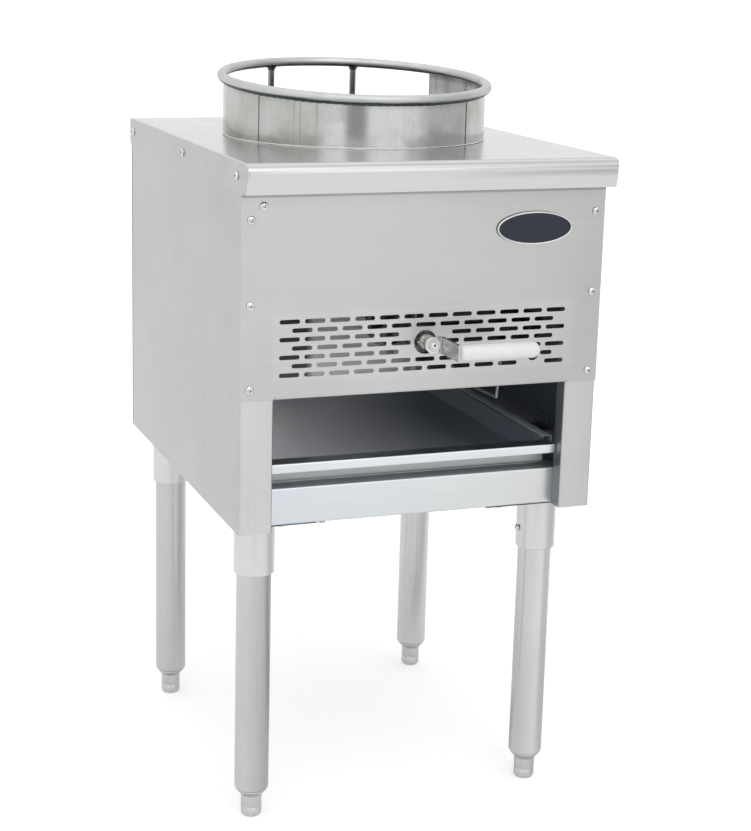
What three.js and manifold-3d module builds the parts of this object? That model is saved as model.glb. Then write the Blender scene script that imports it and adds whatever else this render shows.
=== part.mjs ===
// A single-burner wok range: a stainless cabinet on four legs, with a wok ring on its top cover.
// Millimetres, +Z up, the front faces -Y. Places are first worked out with y = 0 at the front
// face of the side panels' flanges, and the finished group is then moved to its origin, on the
// floor under the middle of its outer box.

import * as THREE from 'three';
import { mergeVertices } from 'three/addons/utils/BufferGeometryUtils.js';
import Module from 'manifold-3d';

const wasm = await Module();
wasm.setup();

// ---------------------------------------------------------------- driving dimensions

// General
const SHEET = 1.2; // stainless sheet of the cabinet
const SEAM = 0.3; // gap between pieces that touch
const BEND = 2.4; // outside radius of a folded edge

// Cabinet
const COVER_WIDTH = 457; // 18 in range
const BODY_DEPTH = 533; // side panels, front to back
const BODY_BOTTOM = 388; // above the floor
const BODY_HEIGHT = 436; // cover's top face above the cabinet's bottom
const FRONT_FLANGE = 41; // side panel's flange at the front
const FRONT_RETURN = 20.2; // flange's inward return
const REAR_FLANGE = 20;
const PANEL_HEM = 10; // inward fold along a side panel's bottom
const WINDOW_HEIGHT = 160.5; // front panel's lower edge above the cabinet's bottom
const PANEL_FOLD = 14; // fold along the front panel's lower edge

// Top cover
const COVER_DROP = 35; // height of its lip and flanges
const NOSE_REACH = 30; // nose in front of the side panels
const NOSE_RADIUS = 12;
const LIP_SETBACK = 6; // lip's lower edge behind the nose
const COVER_CORNER = 3; // ground corner between the lip and a side flange
const COVER_BEND = 2; // outside radius of its other folds

// Wok ring
const RING_BACK = 263.5; // ring and burner centre behind the front
const RIM_RADIUS = 169; // centre line of the rim bar
const RIM_BAR = 6; // radius of the rim bar
const RIM_RISE = 71; // rim's centre above the cover
const RIM_TILT = 4.3; // degrees, rear side higher
const RING_WALL = 2;
const WALL_INSET = 1.8; // wall's outside within the bar's centre line
const OPENING_HALF = 58.6; // degrees of opening each side of its middle
const OPENING_TURN = 1.1; // degrees of its middle from the rear, to the left
const POST_RADIUS = 4.3;
const POST_TURN = 20.3; // degrees of each post from the opening's middle

// Burner chamber
const CHAMBER_RADIUS = 158.5; // inside, also the cover's opening
const CHAMBER_SHEET = 1.5;
const CHAMBER_FLANGE = 25;
const CHAMBER_CLEARANCE = 33.5; // its open bottom above the burner's bracket
const CHAMBER_CONE = 50; // height of its cone
const CHAMBER_THROAT = 105; // radius of its open bottom

// Vent slots
const SLOT_LENGTH = 24.8;
const SLOT_HEIGHT = 5.2;
const SLOT_PITCH = 30.6;
const ROW_PITCH = 10.45;
const ROW_RISE = 30.8; // first row above the valve's axis
const ROWS = 7;
const LONG_ROW = 12; // slots in the first, third, fifth and seventh rows
const SLOT_MARGIN = 2.2; // metal between a slot and a hole

// Holes in the front panel
const VALVE_RISE = 60.5; // axis of the valve and the gas pipes above the window
const VALVE_HOLE = 14.3; // radius
const VALVE_HOLE_DROP = 1; // its centre below the valve's axis
const LIGHT_HOLE = 7.5; // radius of the lighting hole
const LIGHT_INSET = 86.7; // its centre from the cabinet's right side
const LIGHT_DROP = 23; // its centre below the valve's axis

// Badge plate
const BADGE_INSET = 91.7; // its centre from the cabinet's right side
const BADGE_DROP = 84.4; // its centre below the cover's top
const BADGE_HALF_WIDTH = 49;
const BADGE_HALF_HEIGHT = 20;
const BADGE_THICKNESS = 1.6;

// Screws
const SCREW_HEAD = 5; // radius
const SCREW_DOME = 2.6; // height of the head
const SCREW_SHANK = 2.4; // radius
const SCREW_LENGTH = 9;
const HOLE_CLEARANCE = 0.35;
const FRONT_SCREW_INSET = 11.5; // from the cabinet's side
const FRONT_SCREW_RISE = 13.5; // lowest screw above the window
const FRONT_SCREW_PITCH = 98;
const FRONT_SCREW_ROWS = 3;
const EXTRA_SCREW_INSET = 26; // from the cabinet's left side
const EXTRA_SCREW_DROP = 50.4; // below the cover's top
const COVER_SCREW_DROP = 17; // below the cover's top
const COVER_SCREW_INSET = 12; // front screw behind the cabinet's front
const COVER_SCREW_MIDDLE = 250;
const COVER_SCREW_REAR = 18; // rear screw ahead of the cabinet's rear

// Rails and base
const RAIL_HEIGHT = 45.5;
const RAIL_TOP_FOLD = 26;
const RAIL_BOTTOM_FOLD = 12;
const BASE_SHEET = 1.5;
const BASE_UPSTAND = 20;

// Legs
const LEG_EDGE = 39.3; // leg centre from the cabinet's side
const LEG_INSET = 64; // leg centre from the cabinet's front and rear
const LEG_RADIUS = 21.2;
const LEG_WALL = 1.5;
const SOCKET_WALL = 3.15;
const SOCKET_CLEARANCE = 0.35;
const SOCKET_DROP = 68; // its lower end below the cabinet's bottom
const SOCKET_PLATE = 27; // half side of the square plate
const SOCKET_PLATE_THICKNESS = 3;
const SET_SCREW_RISE = 25; // above the socket's lower end
const SET_SCREW_RADIUS = 2.7;

// Adjustable feet
const FOOT_RADIUS = 13;
const FOOT_EDGE = 5; // rounding of its lower edge
const FOOT_NECK = 27.5; // height of its straight part
const FOOT_SHOULDER = 19.3; // radius of its cone's top
const FOOT_HEIGHT = 37; // top of the cone
const FOOT_STUD = 6;
const STUD_LENGTH = 58;
const INSERT_DEPTH = 25; // threaded insert in the leg's end

// Drip tray and runners
const TRAY_CLEARANCE = 4; // tray's wall to the window's side
const TRAY_FRONT = 38; // front wall behind the cabinet's front
const TRAY_REAR = 61; // rear wall to the cabinet's rear, for air from below
const TRAY_DEPTH = 28.5;
const TRAY_REAR_WALL = 14; // height of its rear wall
const TRAY_CORNER = 4;
const LIP_FRONT = 15; // lip's face behind the cabinet's front
const LIP_CLEARANCE = 1.5; // lip's end to the window's side
const LIP_HEIGHT = 12;
const LIP_HEM = 6;
const LIP_ROUND = 4;
const RUNNER_FRONT = 55;
const RUNNER_REAR = 28; // rear end to the cabinet's rear
const RUNNER_CLEARANCE = 5; // tray's wall to the runner's web
const RUNNER_LEDGE = 17; // inward ledge that carries the tray
const RUNNER_TOP = 13; // outward top fold
const RUNNER_SKIRT = 11;
const RUNNER_TAB = 40; // width of each tab to the side panel
const RUNNER_EAR = 20;
const RUNNER_TAB_INSET = 60;

// Gas valve and lever
const BONNET_RADIUS = 9;
const BONNET_CLEARANCE = 1.5; // bonnet's end behind the lever's hub
const BONNET_NUT = 13;
const BONNET_NUT_LENGTH = 10;
const STEM_RADIUS = 5;
const STEM_LENGTH = 30;
const STEM_CLEARANCE = 0.3;
const LEVER_THICKNESS = 3;
const LEVER_HEIGHT = 19.5;
const HUB_RADIUS = 9.3;
const HUB_FRONT = -27; // front face of the lever's hub
const LEVER_BEND = 13; // right face of the forward arm
const GRIP_FRONT = -75; // grip's axis
const GRIP_RADIUS = 9.5;
const GRIP_LENGTH = 98.7;
const LEVER_TANG = 88; // length of the tang inside the grip
const TANG_HEIGHT = 11;
const LEVER_SCREW_HEAD = 3.2;
const LEVER_SCREW_DOME = 1.6;
const VALVE_BODY_RADIUS = 17;
const VALVE_BODY_FRONT = 22;
const VALVE_BODY_LENGTH = 42;
const VALVE_SIDE_RADIUS = 14;
const VALVE_SIDE_REACH = 40;
const VALVE_OUTLET_RADIUS = 11;
const VALVE_OUTLET_LENGTH = 16;

// Gas pipes
const CROSS_PIPE_RADIUS = 10.7;
const CROSS_PIPE_BACK = 43; // axis behind the front
const SUPPLY_INSET = 62; // its axis from the cabinet's right side
const SUPPLY_RADIUS = 13.35;
const SUPPLY_BORE = 10.5;
const SUPPLY_STUB = 24; // pipe end behind the rear panel
const ELBOW_RADIUS = 17;
const ELBOW_BEND = 22;
const PIPE_BRACKET_BACK = 200;
const PIPE_BRACKET_WIDTH = 22;
const PIPE_BRACKET_WALL = 3;
const PIPE_BRACKET_EAR = 34;

// Burner
const HOOD_HEX = 9.8;
const HOOD_HEX_LENGTH = 16;
const HOOD_RADIUS = 7;
const HOOD_BORE = 1.2;
const HOOD_LENGTH = 40;
const MOUTH_RADIUS = 32;
const HOOD_ENTRY = 8.3; // hood's tip inside the mixing tube's mouth
const MOUTH_CONE = 24;
const MOUTH_PLATE = 2;
const TUBE_RADIUS = 19;
const TUBE_WALL = 2.6;
const TUBE_BEND = 34;
const COLLAR_RADIUS = 26;
const COLLAR_LENGTH = 12;
const PORT_INNER = 11;
const PORT_OUTER = 27;
const PORT_COUNT = 4;
const PORT_ANGLE = 42; // degrees of each air port
const SHUTTER_THICKNESS = 1.5;
const SHUTTER_TAB = 12;
const SHUTTER_TAB_WIDTH = 10;
const SHUTTER_BORE = 7.6;
const NECK_RISE = 2; // burner's neck above the mixing tube's bend
const BRACKET_SHEET = 2;
const BRACKET_HALF_WIDTH = 45;
const BRACKET_EAR = 24;
const BURNER_NECK = 28;
const NECK_DROP = 10;
const NECK_CLEARANCE = 1;
const BURNER_RADIUS = 75;
const BURNER_HEIGHT = 48;

// Pilot
const PILOT_INSET = 108; // its axis from the cabinet's right side
const PILOT_VALVE = 7; // half side of its body
const PILOT_VALVE_HEIGHT = 22;
const PILOT_TUBE = 1.9; // radius
const PILOT_NIPPLE = 6; // nipple below the valve's body
const PILOT_DROP = 54.7; // lowest run of the tube below its nipple
const PILOT_RUN = 170; // end of its level run behind the front
const PILOT_BEND = 13; // radius of its bends
const PILOT_RISE = 40; // upright length below the pilot burner
const PILOT_BURNER_ACROSS = 62;
const PILOT_BURNER_FORWARD = 62; // in front of the burner's centre
const PILOT_BURNER_RADIUS = 4.2;
const PILOT_BURNER_HEIGHT = 44.7;

// Smoothness
const ROUND = 24; // sides of a round piece
const SMALL_ROUND = 12;
const WIDE_ROUND = 48; // sides of the burner chamber and its opening
const RING_STEPS = 64;
const RIM_SIDES = 8;
const FOOT_SIDES = 16;
const PILOT_SIDES = 6;
const PIPE_SIDES = 16;
const SLOT_END_STEPS = 4;

// ---------------------------------------------------------------- derived places

const coverHeight = BODY_BOTTOM + BODY_HEIGHT;
const bodyHalf = COVER_WIDTH / 2 - SHEET - SEAM;
const bodyTop = coverHeight - SHEET - SEAM;
const windowTop = BODY_BOTTOM + WINDOW_HEIGHT;
const valveHeight = windowTop + VALVE_RISE;
const lightAcross = bodyHalf - LIGHT_INSET;
const lightHeight = valveHeight - LIGHT_DROP;
const legAcross = bodyHalf - LEG_EDGE;
const supplyAcross = bodyHalf - SUPPLY_INSET;
const socketBottom = BODY_BOTTOM - SOCKET_DROP;
const setScrewHeight = socketBottom + SET_SCREW_RISE;
const insideHalf = bodyHalf - SHEET;
const windowHalf = bodyHalf - FRONT_FLANGE;
const trayHalf = windowHalf - TRAY_CLEARANCE;
const lipHalf = windowHalf - LIP_CLEARANCE;
const runnerBack = BODY_DEPTH - RUNNER_REAR;
const panelFace = -SEAM - SHEET; // front face of the front panel
const rearFace = BODY_DEPTH + SEAM + SHEET; // rear face of the rear panel
const coverRear = rearFace + SEAM + SHEET;
const coverBottom = coverHeight - COVER_DROP;
const railFront = FRONT_RETURN + SEAM;
const railRear = BODY_DEPTH - SHEET - SEAM;
const railBottom = BODY_BOTTOM + SHEET + SEAM;
const railTop = railBottom + RAIL_HEIGHT;
const railHalf = insideHalf - 2 * SEAM;
const baseBottom = railBottom + SHEET + SEAM;
const plateTop = baseBottom - SEAM;
const rimHeight = coverHeight + RIM_RISE;
const rimSlope = Math.tan(THREE.MathUtils.degToRad(RIM_TILT));
const runnerWeb = trayHalf + RUNNER_CLEARANCE;
const ledgeTop = railTop + SEAM + SHEET + 1;
const trayBottom = ledgeTop + SEAM;
const trayTop = trayBottom + TRAY_DEPTH;
const coverScrewBacks = [COVER_SCREW_INSET, COVER_SCREW_MIDDLE, BODY_DEPTH - COVER_SCREW_REAR];
const legBacks = { front: LEG_INSET, rear: BODY_DEPTH - LEG_INSET };
const valveOutlet = VALVE_BODY_FRONT + VALVE_BODY_LENGTH + VALVE_OUTLET_LENGTH;
const supplyFront = CROSS_PIPE_BACK + ELBOW_BEND + SEAM;
const supplyRear = rearFace + SUPPLY_STUB;
const hubBack = HUB_FRONT + LEVER_THICKNESS;
const gripStart = LEVER_BEND + SEAM;
const gripEnd = gripStart + GRIP_LENGTH;
const valveHoleHeight = valveHeight - VALVE_HOLE_DROP;
const mouthFront = valveOutlet + SEAM + HOOD_LENGTH - HOOD_ENTRY;
const neckBottom = valveHeight + TUBE_BEND + NECK_RISE;
const bracketBottom = neckBottom + NECK_DROP;
const bracketTop = bracketBottom + BRACKET_SHEET;
const burnerSeat = bracketTop + SEAM;

// ---------------------------------------------------------------- solids

const V = (x, y, z = 0) => new THREE.Vector3(x, y, z);

// A closed mesh with shared corners, as a solid that can be joined and cut.
function solid(geometry) {
  const bare = geometry.clone();
  bare.deleteAttribute('normal');
  bare.deleteAttribute('uv');
  const merged = mergeVertices(bare, 1e-4);
  const corners = merged.index.array;
  const triVerts = [];
  for (let i = 0; i < corners.length; i += 3) {
    const [a, b, c] = [corners[i], corners[i + 1], corners[i + 2]];
    if (a !== b && b !== c && c !== a) triVerts.push(a, b, c);
  }
  return new wasm.Manifold(new wasm.Mesh({
    numProp: 3,
    vertProperties: new Float32Array(merged.attributes.position.array),
    triVerts: new Uint32Array(triVerts),
  }));
}

function geometryOf(body) {
  const mesh = body.getMesh();
  const geometry = new THREE.BufferGeometry();
  geometry.setAttribute('position', new THREE.BufferAttribute(mesh.vertProperties, 3));
  geometry.setIndex(new THREE.BufferAttribute(mesh.triVerts, 1));
  geometry.computeVertexNormals();
  return geometry;
}

const join = (first, ...rest) => rest.reduce((sum, piece) => sum.add(piece), first);
const cut = (first, ...rest) => rest.reduce((sum, piece) => sum.subtract(piece), first);

function box([x0, x1], [y0, y1], [z0, z1]) {
  const geometry = new THREE.BoxGeometry(Math.abs(x1 - x0), Math.abs(y1 - y0), Math.abs(z1 - z0));
  geometry.translate((x0 + x1) / 2, (y0 + y1) / 2, (z0 + z1) / 2);
  return solid(geometry);
}

// A cylinder between two points.
function rod(radius, from, to, sides = SMALL_ROUND) {
  const along = new THREE.Vector3().subVectors(to, from);
  const geometry = new THREE.CylinderGeometry(radius, radius, along.length(), sides);
  const turn = new THREE.Quaternion().setFromUnitVectors(V(0, 1, 0), along.clone().normalize());
  geometry.applyQuaternion(turn);
  geometry.translate((from.x + to.x) / 2, (from.y + to.y) / 2, (from.z + to.z) / 2);
  return solid(geometry);
}

// A shape from corners [u, v, radius]: a corner with a radius is rounded.
function outline(corners, steps = 4) {
  const points = [];
  corners.forEach(([u, v, radius = 0], i) => {
    const here = new THREE.Vector2(u, v);
    if (radius === 0) {
      points.push(here);
      return;
    }
    const before = new THREE.Vector2(...corners.at(i - 1).slice(0, 2)).sub(here).normalize();
    const after = new THREE.Vector2(...corners[(i + 1) % corners.length].slice(0, 2)).sub(here).normalize();
    const half = Math.acos(THREE.MathUtils.clamp(before.dot(after), -1, 1)) / 2;
    const centre = before.clone().add(after).normalize().multiplyScalar(radius / Math.sin(half)).add(here);
    const start = before.multiplyScalar(radius / Math.tan(half)).add(here).sub(centre);
    const end = after.multiplyScalar(radius / Math.tan(half)).add(here).sub(centre);
    let sweep = end.angle() - start.angle();
    if (sweep > Math.PI) sweep -= 2 * Math.PI;
    if (sweep < -Math.PI) sweep += 2 * Math.PI;
    for (let k = 0; k <= steps; k += 1) {
      const point = start.clone().rotateAround(new THREE.Vector2(), (sweep * k) / steps);
      points.push(point.add(centre));
    }
  });
  return new THREE.Shape(points);
}

const rectangle = (u0, u1, v0, v1, radius = 0) =>
  outline([[u0, v0, radius], [u1, v0, radius], [u1, v1, radius], [u0, v1, radius]]);

// A flat shape given depth: its u and v lie along the first two axes and it grows along the third.
// Each arc in it takes a number of steps.
function prism(shape, axes, start, depth, turnSteps = SMALL_ROUND) {
  const geometry = new THREE.ExtrudeGeometry(shape, {
    depth, bevelEnabled: false, curveSegments: turnSteps / 2,
  });
  geometry.applyMatrix4(new THREE.Matrix4().makeBasis(...axes));
  const shift = axes[2].clone().multiplyScalar(start);
  geometry.translate(shift.x, shift.y, shift.z);
  return solid(geometry);
}

const AXES = {
  x: [V(0, 1, 0), V(0, 0, 1), V(1, 0, 0)], // shape in YZ
  y: [V(0, 0, 1), V(1, 0, 0), V(0, 1, 0)], // shape in ZX
  z: [V(1, 0, 0), V(0, 1, 0), V(0, 0, 1)], // shape in XY
};
const prismX = (shape, x0, x1) => prism(shape, AXES.x, x0, x1 - x0);
const prismY = (shape, y0, y1) => prism(shape, AXES.y, y0, y1 - y0);
const prismZ = (shape, z0, z1, turnSteps) => prism(shape, AXES.z, z0, z1 - z0, turnSteps);

// A turned piece about a vertical axis: its profile's points are [radius, height].
function turned(profile, centre, sides = ROUND) {
  const points = profile.map(([radius, height]) => new THREE.Vector2(radius, height));
  if (profile[0][0] > 0) points.push(points[0].clone());
  const geometry = new THREE.LatheGeometry(points, sides);
  geometry.rotateX(Math.PI / 2);
  geometry.translate(centre.x, centre.y, centre.z);
  return faceOut(geometry);
}

// The same about an axis along +Y through a point.
function turnedAlongY(profile, centre, sides = ROUND) {
  const points = profile.map(([radius, along]) => new THREE.Vector2(radius, along));
  if (profile[0][0] > 0) points.push(points[0].clone());
  const geometry = new THREE.LatheGeometry(points, sides);
  geometry.translate(centre.x, centre.y, centre.z);
  return faceOut(geometry);
}

// A profile may run either way round: the solid's faces are made to point out.
function faceOut(geometry) {
  const body = solid(geometry);
  if (body.volume() > 0) return body;
  const index = geometry.index.array;
  for (let i = 0; i < index.length; i += 3) [index[i], index[i + 1]] = [index[i + 1], index[i]];
  return solid(geometry);
}

// A path with a station at each of its points, which may lie any distance apart.
class Stations extends THREE.Curve {
  constructor(points) {
    super();
    this.points = points;
  }

  getPointAt(u, target = new THREE.Vector3()) {
    return target.copy(this.points[Math.round(u * (this.points.length - 1))]);
  }

  getTangentAt(u, target = new THREE.Vector3()) {
    const i = Math.round(u * (this.points.length - 1));
    const before = this.points[Math.max(i - 1, 0)];
    const after = this.points[Math.min(i + 1, this.points.length - 1)];
    return target.subVectors(after, before).normalize();
  }
}

// Stations along straight runs between corners, with a round bend at each inner corner.
function bentPath(corners, radius, bendSteps = 6) {
  const points = [corners[0]];
  for (let i = 1; i < corners.length - 1; i += 1) {
    const toBefore = corners[i - 1].clone().sub(corners[i]).normalize();
    const toAfter = corners[i + 1].clone().sub(corners[i]).normalize();
    const start = corners[i].clone().addScaledVector(toBefore, radius);
    const end = corners[i].clone().addScaledVector(toAfter, radius);
    const bend = new THREE.QuadraticBezierCurve3(start, corners[i], end);
    points.push(...bend.getPoints(bendSteps));
  }
  points.push(corners.at(-1));
  return new Stations(points);
}

// A round bar along a path of stations.
function bar(radius, path, sides = SMALL_ROUND) {
  const section = new THREE.Shape();
  section.absarc(0, 0, radius, 0, 2 * Math.PI);
  const geometry = new THREE.ExtrudeGeometry(section, {
    steps: path.points.length - 1, extrudePath: path, bevelEnabled: false, curveSegments: sides / 2,
  });
  return faceOut(geometry);
}

// ---------------------------------------------------------------- group and materials

const range = new THREE.Group();

function steel(color, roughness = 0.38) {
  return () => new THREE.MeshStandardMaterial({ color, roughness, metalness: 0.9 });
}
const brushed = steel(0xc6c7c7);
const bright = steel(0xd6dada, 0.3);
const ringSteel = steel(0xa9abab, 0.32);
const zinc = steel(0xb9bab6, 0.42);
const dark = steel(0x6e7276, 0.5);
const brass = () => new THREE.MeshStandardMaterial({ color: 0xb08d4a, roughness: 0.35, metalness: 1 });
const iron = () => new THREE.MeshStandardMaterial({ color: 0x34343a, roughness: 0.75, metalness: 0.6 });
const whiteGrip = () => new THREE.MeshStandardMaterial({ color: 0xe8eaea, roughness: 0.4, metalness: 0 });
const badgeFace = () => new THREE.MeshStandardMaterial({ color: 0x3a404c, roughness: 0.35, metalness: 0.4 });

function add(name, body, material) {
  const mesh = new THREE.Mesh(geometryOf(body), material());
  mesh.name = name;
  range.add(mesh);
}

// ---------------------------------------------------------------- screws

// A pan-head screw whose head sits on a face at a point and whose shank goes in along a direction.
function panScrew(
  seat,
  inward,
  head = SCREW_HEAD,
  dome = SCREW_DOME,
  shank = SCREW_SHANK,
  length = SCREW_LENGTH,
) {
  const profile = [
    [0, length], [shank, length], [shank, 0], [head, 0], [head * 0.93, -dome * 0.55],
    [head * 0.6, -dome], [0, -dome],
  ];
  const points = profile.map(([radius, along]) => new THREE.Vector2(radius, along));
  const geometry = new THREE.LatheGeometry(points, SMALL_ROUND);
  geometry.applyQuaternion(new THREE.Quaternion().setFromUnitVectors(V(0, 1, 0), inward));
  const start = seat.clone().addScaledVector(inward, -SEAM);
  geometry.translate(start.x, start.y, start.z);
  return faceOut(geometry);
}

const holeRadius = SCREW_SHANK + HOLE_CLEARANCE;

// Screw centres on the front panel, as [across, height].
const frontScrews = [];
for (let row = 0; row < FRONT_SCREW_ROWS; row += 1) {
  for (const side of [-1, 1]) {
    const height = windowTop + FRONT_SCREW_RISE + row * FRONT_SCREW_PITCH;
    frontScrews.push([side * (bodyHalf - FRONT_SCREW_INSET), height]);
  }
}
frontScrews.push([EXTRA_SCREW_INSET - bodyHalf, coverHeight - EXTRA_SCREW_DROP]);
const frontHoles = () => frontScrews.map(([x, z]) =>
  rod(holeRadius, V(x, panelFace - SHEET, z), V(x, SHEET * 2, z)));

const coverScrewHeight = coverHeight - COVER_SCREW_DROP;
const coverHoles = (side) => coverScrewBacks.map((y) =>
  rod(holeRadius, V(side * (insideHalf - SHEET), y, coverScrewHeight),
    V(side * (COVER_WIDTH / 2 + SHEET), y, coverScrewHeight)));

// ---------------------------------------------------------------- cabinet

function topCover() {
  const half = COVER_WIDTH / 2;
  const side = (t, drop) => outline([
    [coverRear - t, coverBottom - drop],
    [-NOSE_REACH + LIP_SETBACK + t, coverBottom - drop],
    [-NOSE_REACH + t, coverHeight - NOSE_RADIUS],
    [-NOSE_REACH + t, coverHeight - t, NOSE_RADIUS - t],
    [coverRear - t, coverHeight - t, COVER_BEND - t],
  ], 6);
  const front = (t, drop) => outline([
    [coverBottom - drop, -half + t], [coverHeight - t, -half + t, COVER_BEND - t],
    [coverHeight - t, half - t, COVER_BEND - t], [coverBottom - drop, half - t],
  ]);
  const plan = (t) => outline([
    [-half + t, -NOSE_REACH + t, COVER_CORNER - t], [half - t, -NOSE_REACH + t, COVER_CORNER - t],
    [half - t, coverRear - t], [-half + t, coverRear - t],
  ]);
  const skin = (t, drop) => prismX(side(t, drop), -half, half)
    .intersect(prismY(front(t, drop), -NOSE_REACH, coverRear))
    .intersect(prismZ(plan(t), coverBottom - drop, coverHeight));
  const opening = rod(CHAMBER_RADIUS, V(0, RING_BACK, coverHeight - COVER_DROP / 2),
    V(0, RING_BACK, coverHeight + SHEET), WIDE_ROUND);
  return cut(skin(0, 0), skin(SHEET, SHEET), opening, ...coverHoles(-1), ...coverHoles(1));
}

function sidePanel(side) {
  const x = (inset) => side * (bodyHalf - inset);
  const section = outline([
    [x(0), 0, BEND], [x(0), BODY_DEPTH, BEND],
    [x(REAR_FLANGE), BODY_DEPTH], [x(REAR_FLANGE), BODY_DEPTH - SHEET],
    [x(SHEET), BODY_DEPTH - SHEET, BEND - SHEET], [x(SHEET), SHEET, BEND - SHEET],
    [x(FRONT_FLANGE - SHEET), SHEET], [x(FRONT_FLANGE - SHEET), FRONT_RETURN],
    [x(FRONT_FLANGE), FRONT_RETURN], [x(FRONT_FLANGE), 0],
  ]);
  const hem = box([x(SHEET / 2), x(SHEET + PANEL_HEM)], [FRONT_RETURN + SEAM, BODY_DEPTH - SHEET / 2],
    [BODY_BOTTOM, BODY_BOTTOM + SHEET]);
  return cut(join(prismZ(section, BODY_BOTTOM, bodyTop), hem), ...coverHoles(side), ...frontHoles());
}

// Slots of one row, as [start, end], kept clear of the round holes.
function slotsOfRow(row, height) {
  const count = LONG_ROW - (row % 2);
  const first = -((count - 1) * SLOT_PITCH + SLOT_LENGTH) / 2;
  const holes = [[0, valveHoleHeight, VALVE_HOLE], [lightAcross, lightHeight, LIGHT_HOLE]];
  const slots = [];
  for (let i = 0; i < count; i += 1) {
    let start = first + i * SLOT_PITCH;
    let end = start + SLOT_LENGTH;
    const middle = (start + end) / 2;
    let kept = true;
    for (const [across, holeHeight, radius] of holes) {
      if (Math.abs(height - holeHeight) > radius + SLOT_HEIGHT / 2) continue;
      const reach = radius + SLOT_MARGIN;
      if (Math.abs(middle - across) < reach) kept = false;
      else if (middle < across) end = Math.min(end, across - reach);
      else start = Math.max(start, across + reach);
    }
    if (kept) slots.push([start, end]);
  }
  return slots;
}

function frontPanel() {
  const sheet = rectangle(windowTop, bodyTop, -bodyHalf, bodyHalf);
  for (let row = 0; row < ROWS; row += 1) {
    const height = valveHeight + ROW_RISE - row * ROW_PITCH;
    for (const [start, end] of slotsOfRow(row, height)) {
      const r = SLOT_HEIGHT / 2;
      const slot = new THREE.Path();
      slot.absarc(height, start + r, r, Math.PI, 2 * Math.PI);
      slot.absarc(height, end - r, r, 0, Math.PI);
      sheet.holes.push(slot);
    }
  }
  const plate = prism(sheet, AXES.y, panelFace, SHEET, SLOT_END_STEPS);
  const fold = box([-windowHalf + SEAM, windowHalf - SEAM], [panelFace + SHEET / 2, PANEL_FOLD],
    [windowTop, windowTop + SHEET]);
  const hole = (x, z, radius) => rod(radius, V(x, panelFace - SHEET, z), V(x, SHEET, z), ROUND);
  return cut(join(plate, fold), hole(0, valveHoleHeight, VALVE_HOLE),
    hole(lightAcross, lightHeight, LIGHT_HOLE), ...frontHoles());
}

function rearPanel() {
  const plate = box([-bodyHalf, bodyHalf], [BODY_DEPTH + SEAM, rearFace], [BODY_BOTTOM, bodyTop]);
  const pipeHole = rod(SUPPLY_RADIUS + SEAM * 2, V(supplyAcross, BODY_DEPTH, valveHeight),
    V(supplyAcross, rearFace + SHEET, valveHeight), ROUND);
  return cut(plate, pipeHole);
}

function frontRail() {
  const y = (depth) => railFront + depth;
  const section = outline([
    [y(0), railBottom, BEND], [y(RAIL_BOTTOM_FOLD), railBottom],
    [y(RAIL_BOTTOM_FOLD), railBottom + SHEET], [y(SHEET), railBottom + SHEET, BEND - SHEET],
    [y(SHEET), railTop - SHEET, BEND - SHEET], [y(RAIL_TOP_FOLD), railTop - SHEET],
    [y(RAIL_TOP_FOLD), railTop], [y(0), railTop, BEND],
  ]);
  return prismX(section, -railHalf, railHalf);
}

// The rear rail is open above, so that air from below passes behind the tray.
function rearRail() {
  const y = (depth) => railRear - depth;
  const section = outline([
    [y(0), railBottom, BEND], [y(RAIL_BOTTOM_FOLD), railBottom],
    [y(RAIL_BOTTOM_FOLD), railBottom + SHEET], [y(SHEET), railBottom + SHEET, BEND - SHEET],
    [y(SHEET), railTop], [y(0), railTop],
  ]);
  return prismX(section, -railHalf, railHalf);
}

function baseChannel(side) {
  const x = (out) => side * (legAcross + out);
  const web = SOCKET_PLATE;
  const from = railFront + BEND;
  const to = railRear - BEND;
  const section = outline([
    [baseBottom, x(-web)], [baseBottom, x(web)], [baseBottom + BASE_UPSTAND, x(web)],
    [baseBottom + BASE_UPSTAND, x(web - BASE_SHEET)], [baseBottom + BASE_SHEET, x(web - BASE_SHEET)],
    [baseBottom + BASE_SHEET, x(BASE_SHEET - web)], [baseBottom + BASE_UPSTAND, x(BASE_SHEET - web)],
    [baseBottom + BASE_UPSTAND, x(-web)],
  ]);
  return prismY(section, from, to);
}

function badge() {
  const shape = new THREE.Shape();
  const height = coverHeight - BADGE_DROP;
  const across = bodyHalf - BADGE_INSET;
  shape.absellipse(height, across, BADGE_HALF_HEIGHT, BADGE_HALF_WIDTH, 0, 2 * Math.PI);
  const back = panelFace - SEAM;
  return prism(shape, AXES.y, back - BADGE_THICKNESS, BADGE_THICKNESS, WIDE_ROUND);
}

add('top_cover', topCover(), bright);
add('side_panel_left', sidePanel(-1), brushed);
add('side_panel_right', sidePanel(1), brushed);
add('front_panel', frontPanel(), brushed);
add('rear_panel', rearPanel(), brushed);
add('front_rail', frontRail(), bright);
add('rear_rail', rearRail(), brushed);
add('base_channel_left', baseChannel(-1), zinc);
add('base_channel_right', baseChannel(1), zinc);
add('badge_plate', badge(), badgeFace);

frontScrews.forEach(([x, z], i) => {
  add(`front_screw_${i + 1}`, panScrew(V(x, panelFace, z), V(0, 1, 0)), bright);
});
for (const [side, word] of [[-1, 'left'], [1, 'right']]) {
  coverScrewBacks.forEach((y, i) => {
    const seat = V((side * COVER_WIDTH) / 2, y, coverScrewHeight);
    add(`cover_screw_${word}_${i + 1}`, panScrew(seat, V(-side, 0, 0)), bright);
  });
}

// ---------------------------------------------------------------- legs and feet

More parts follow.
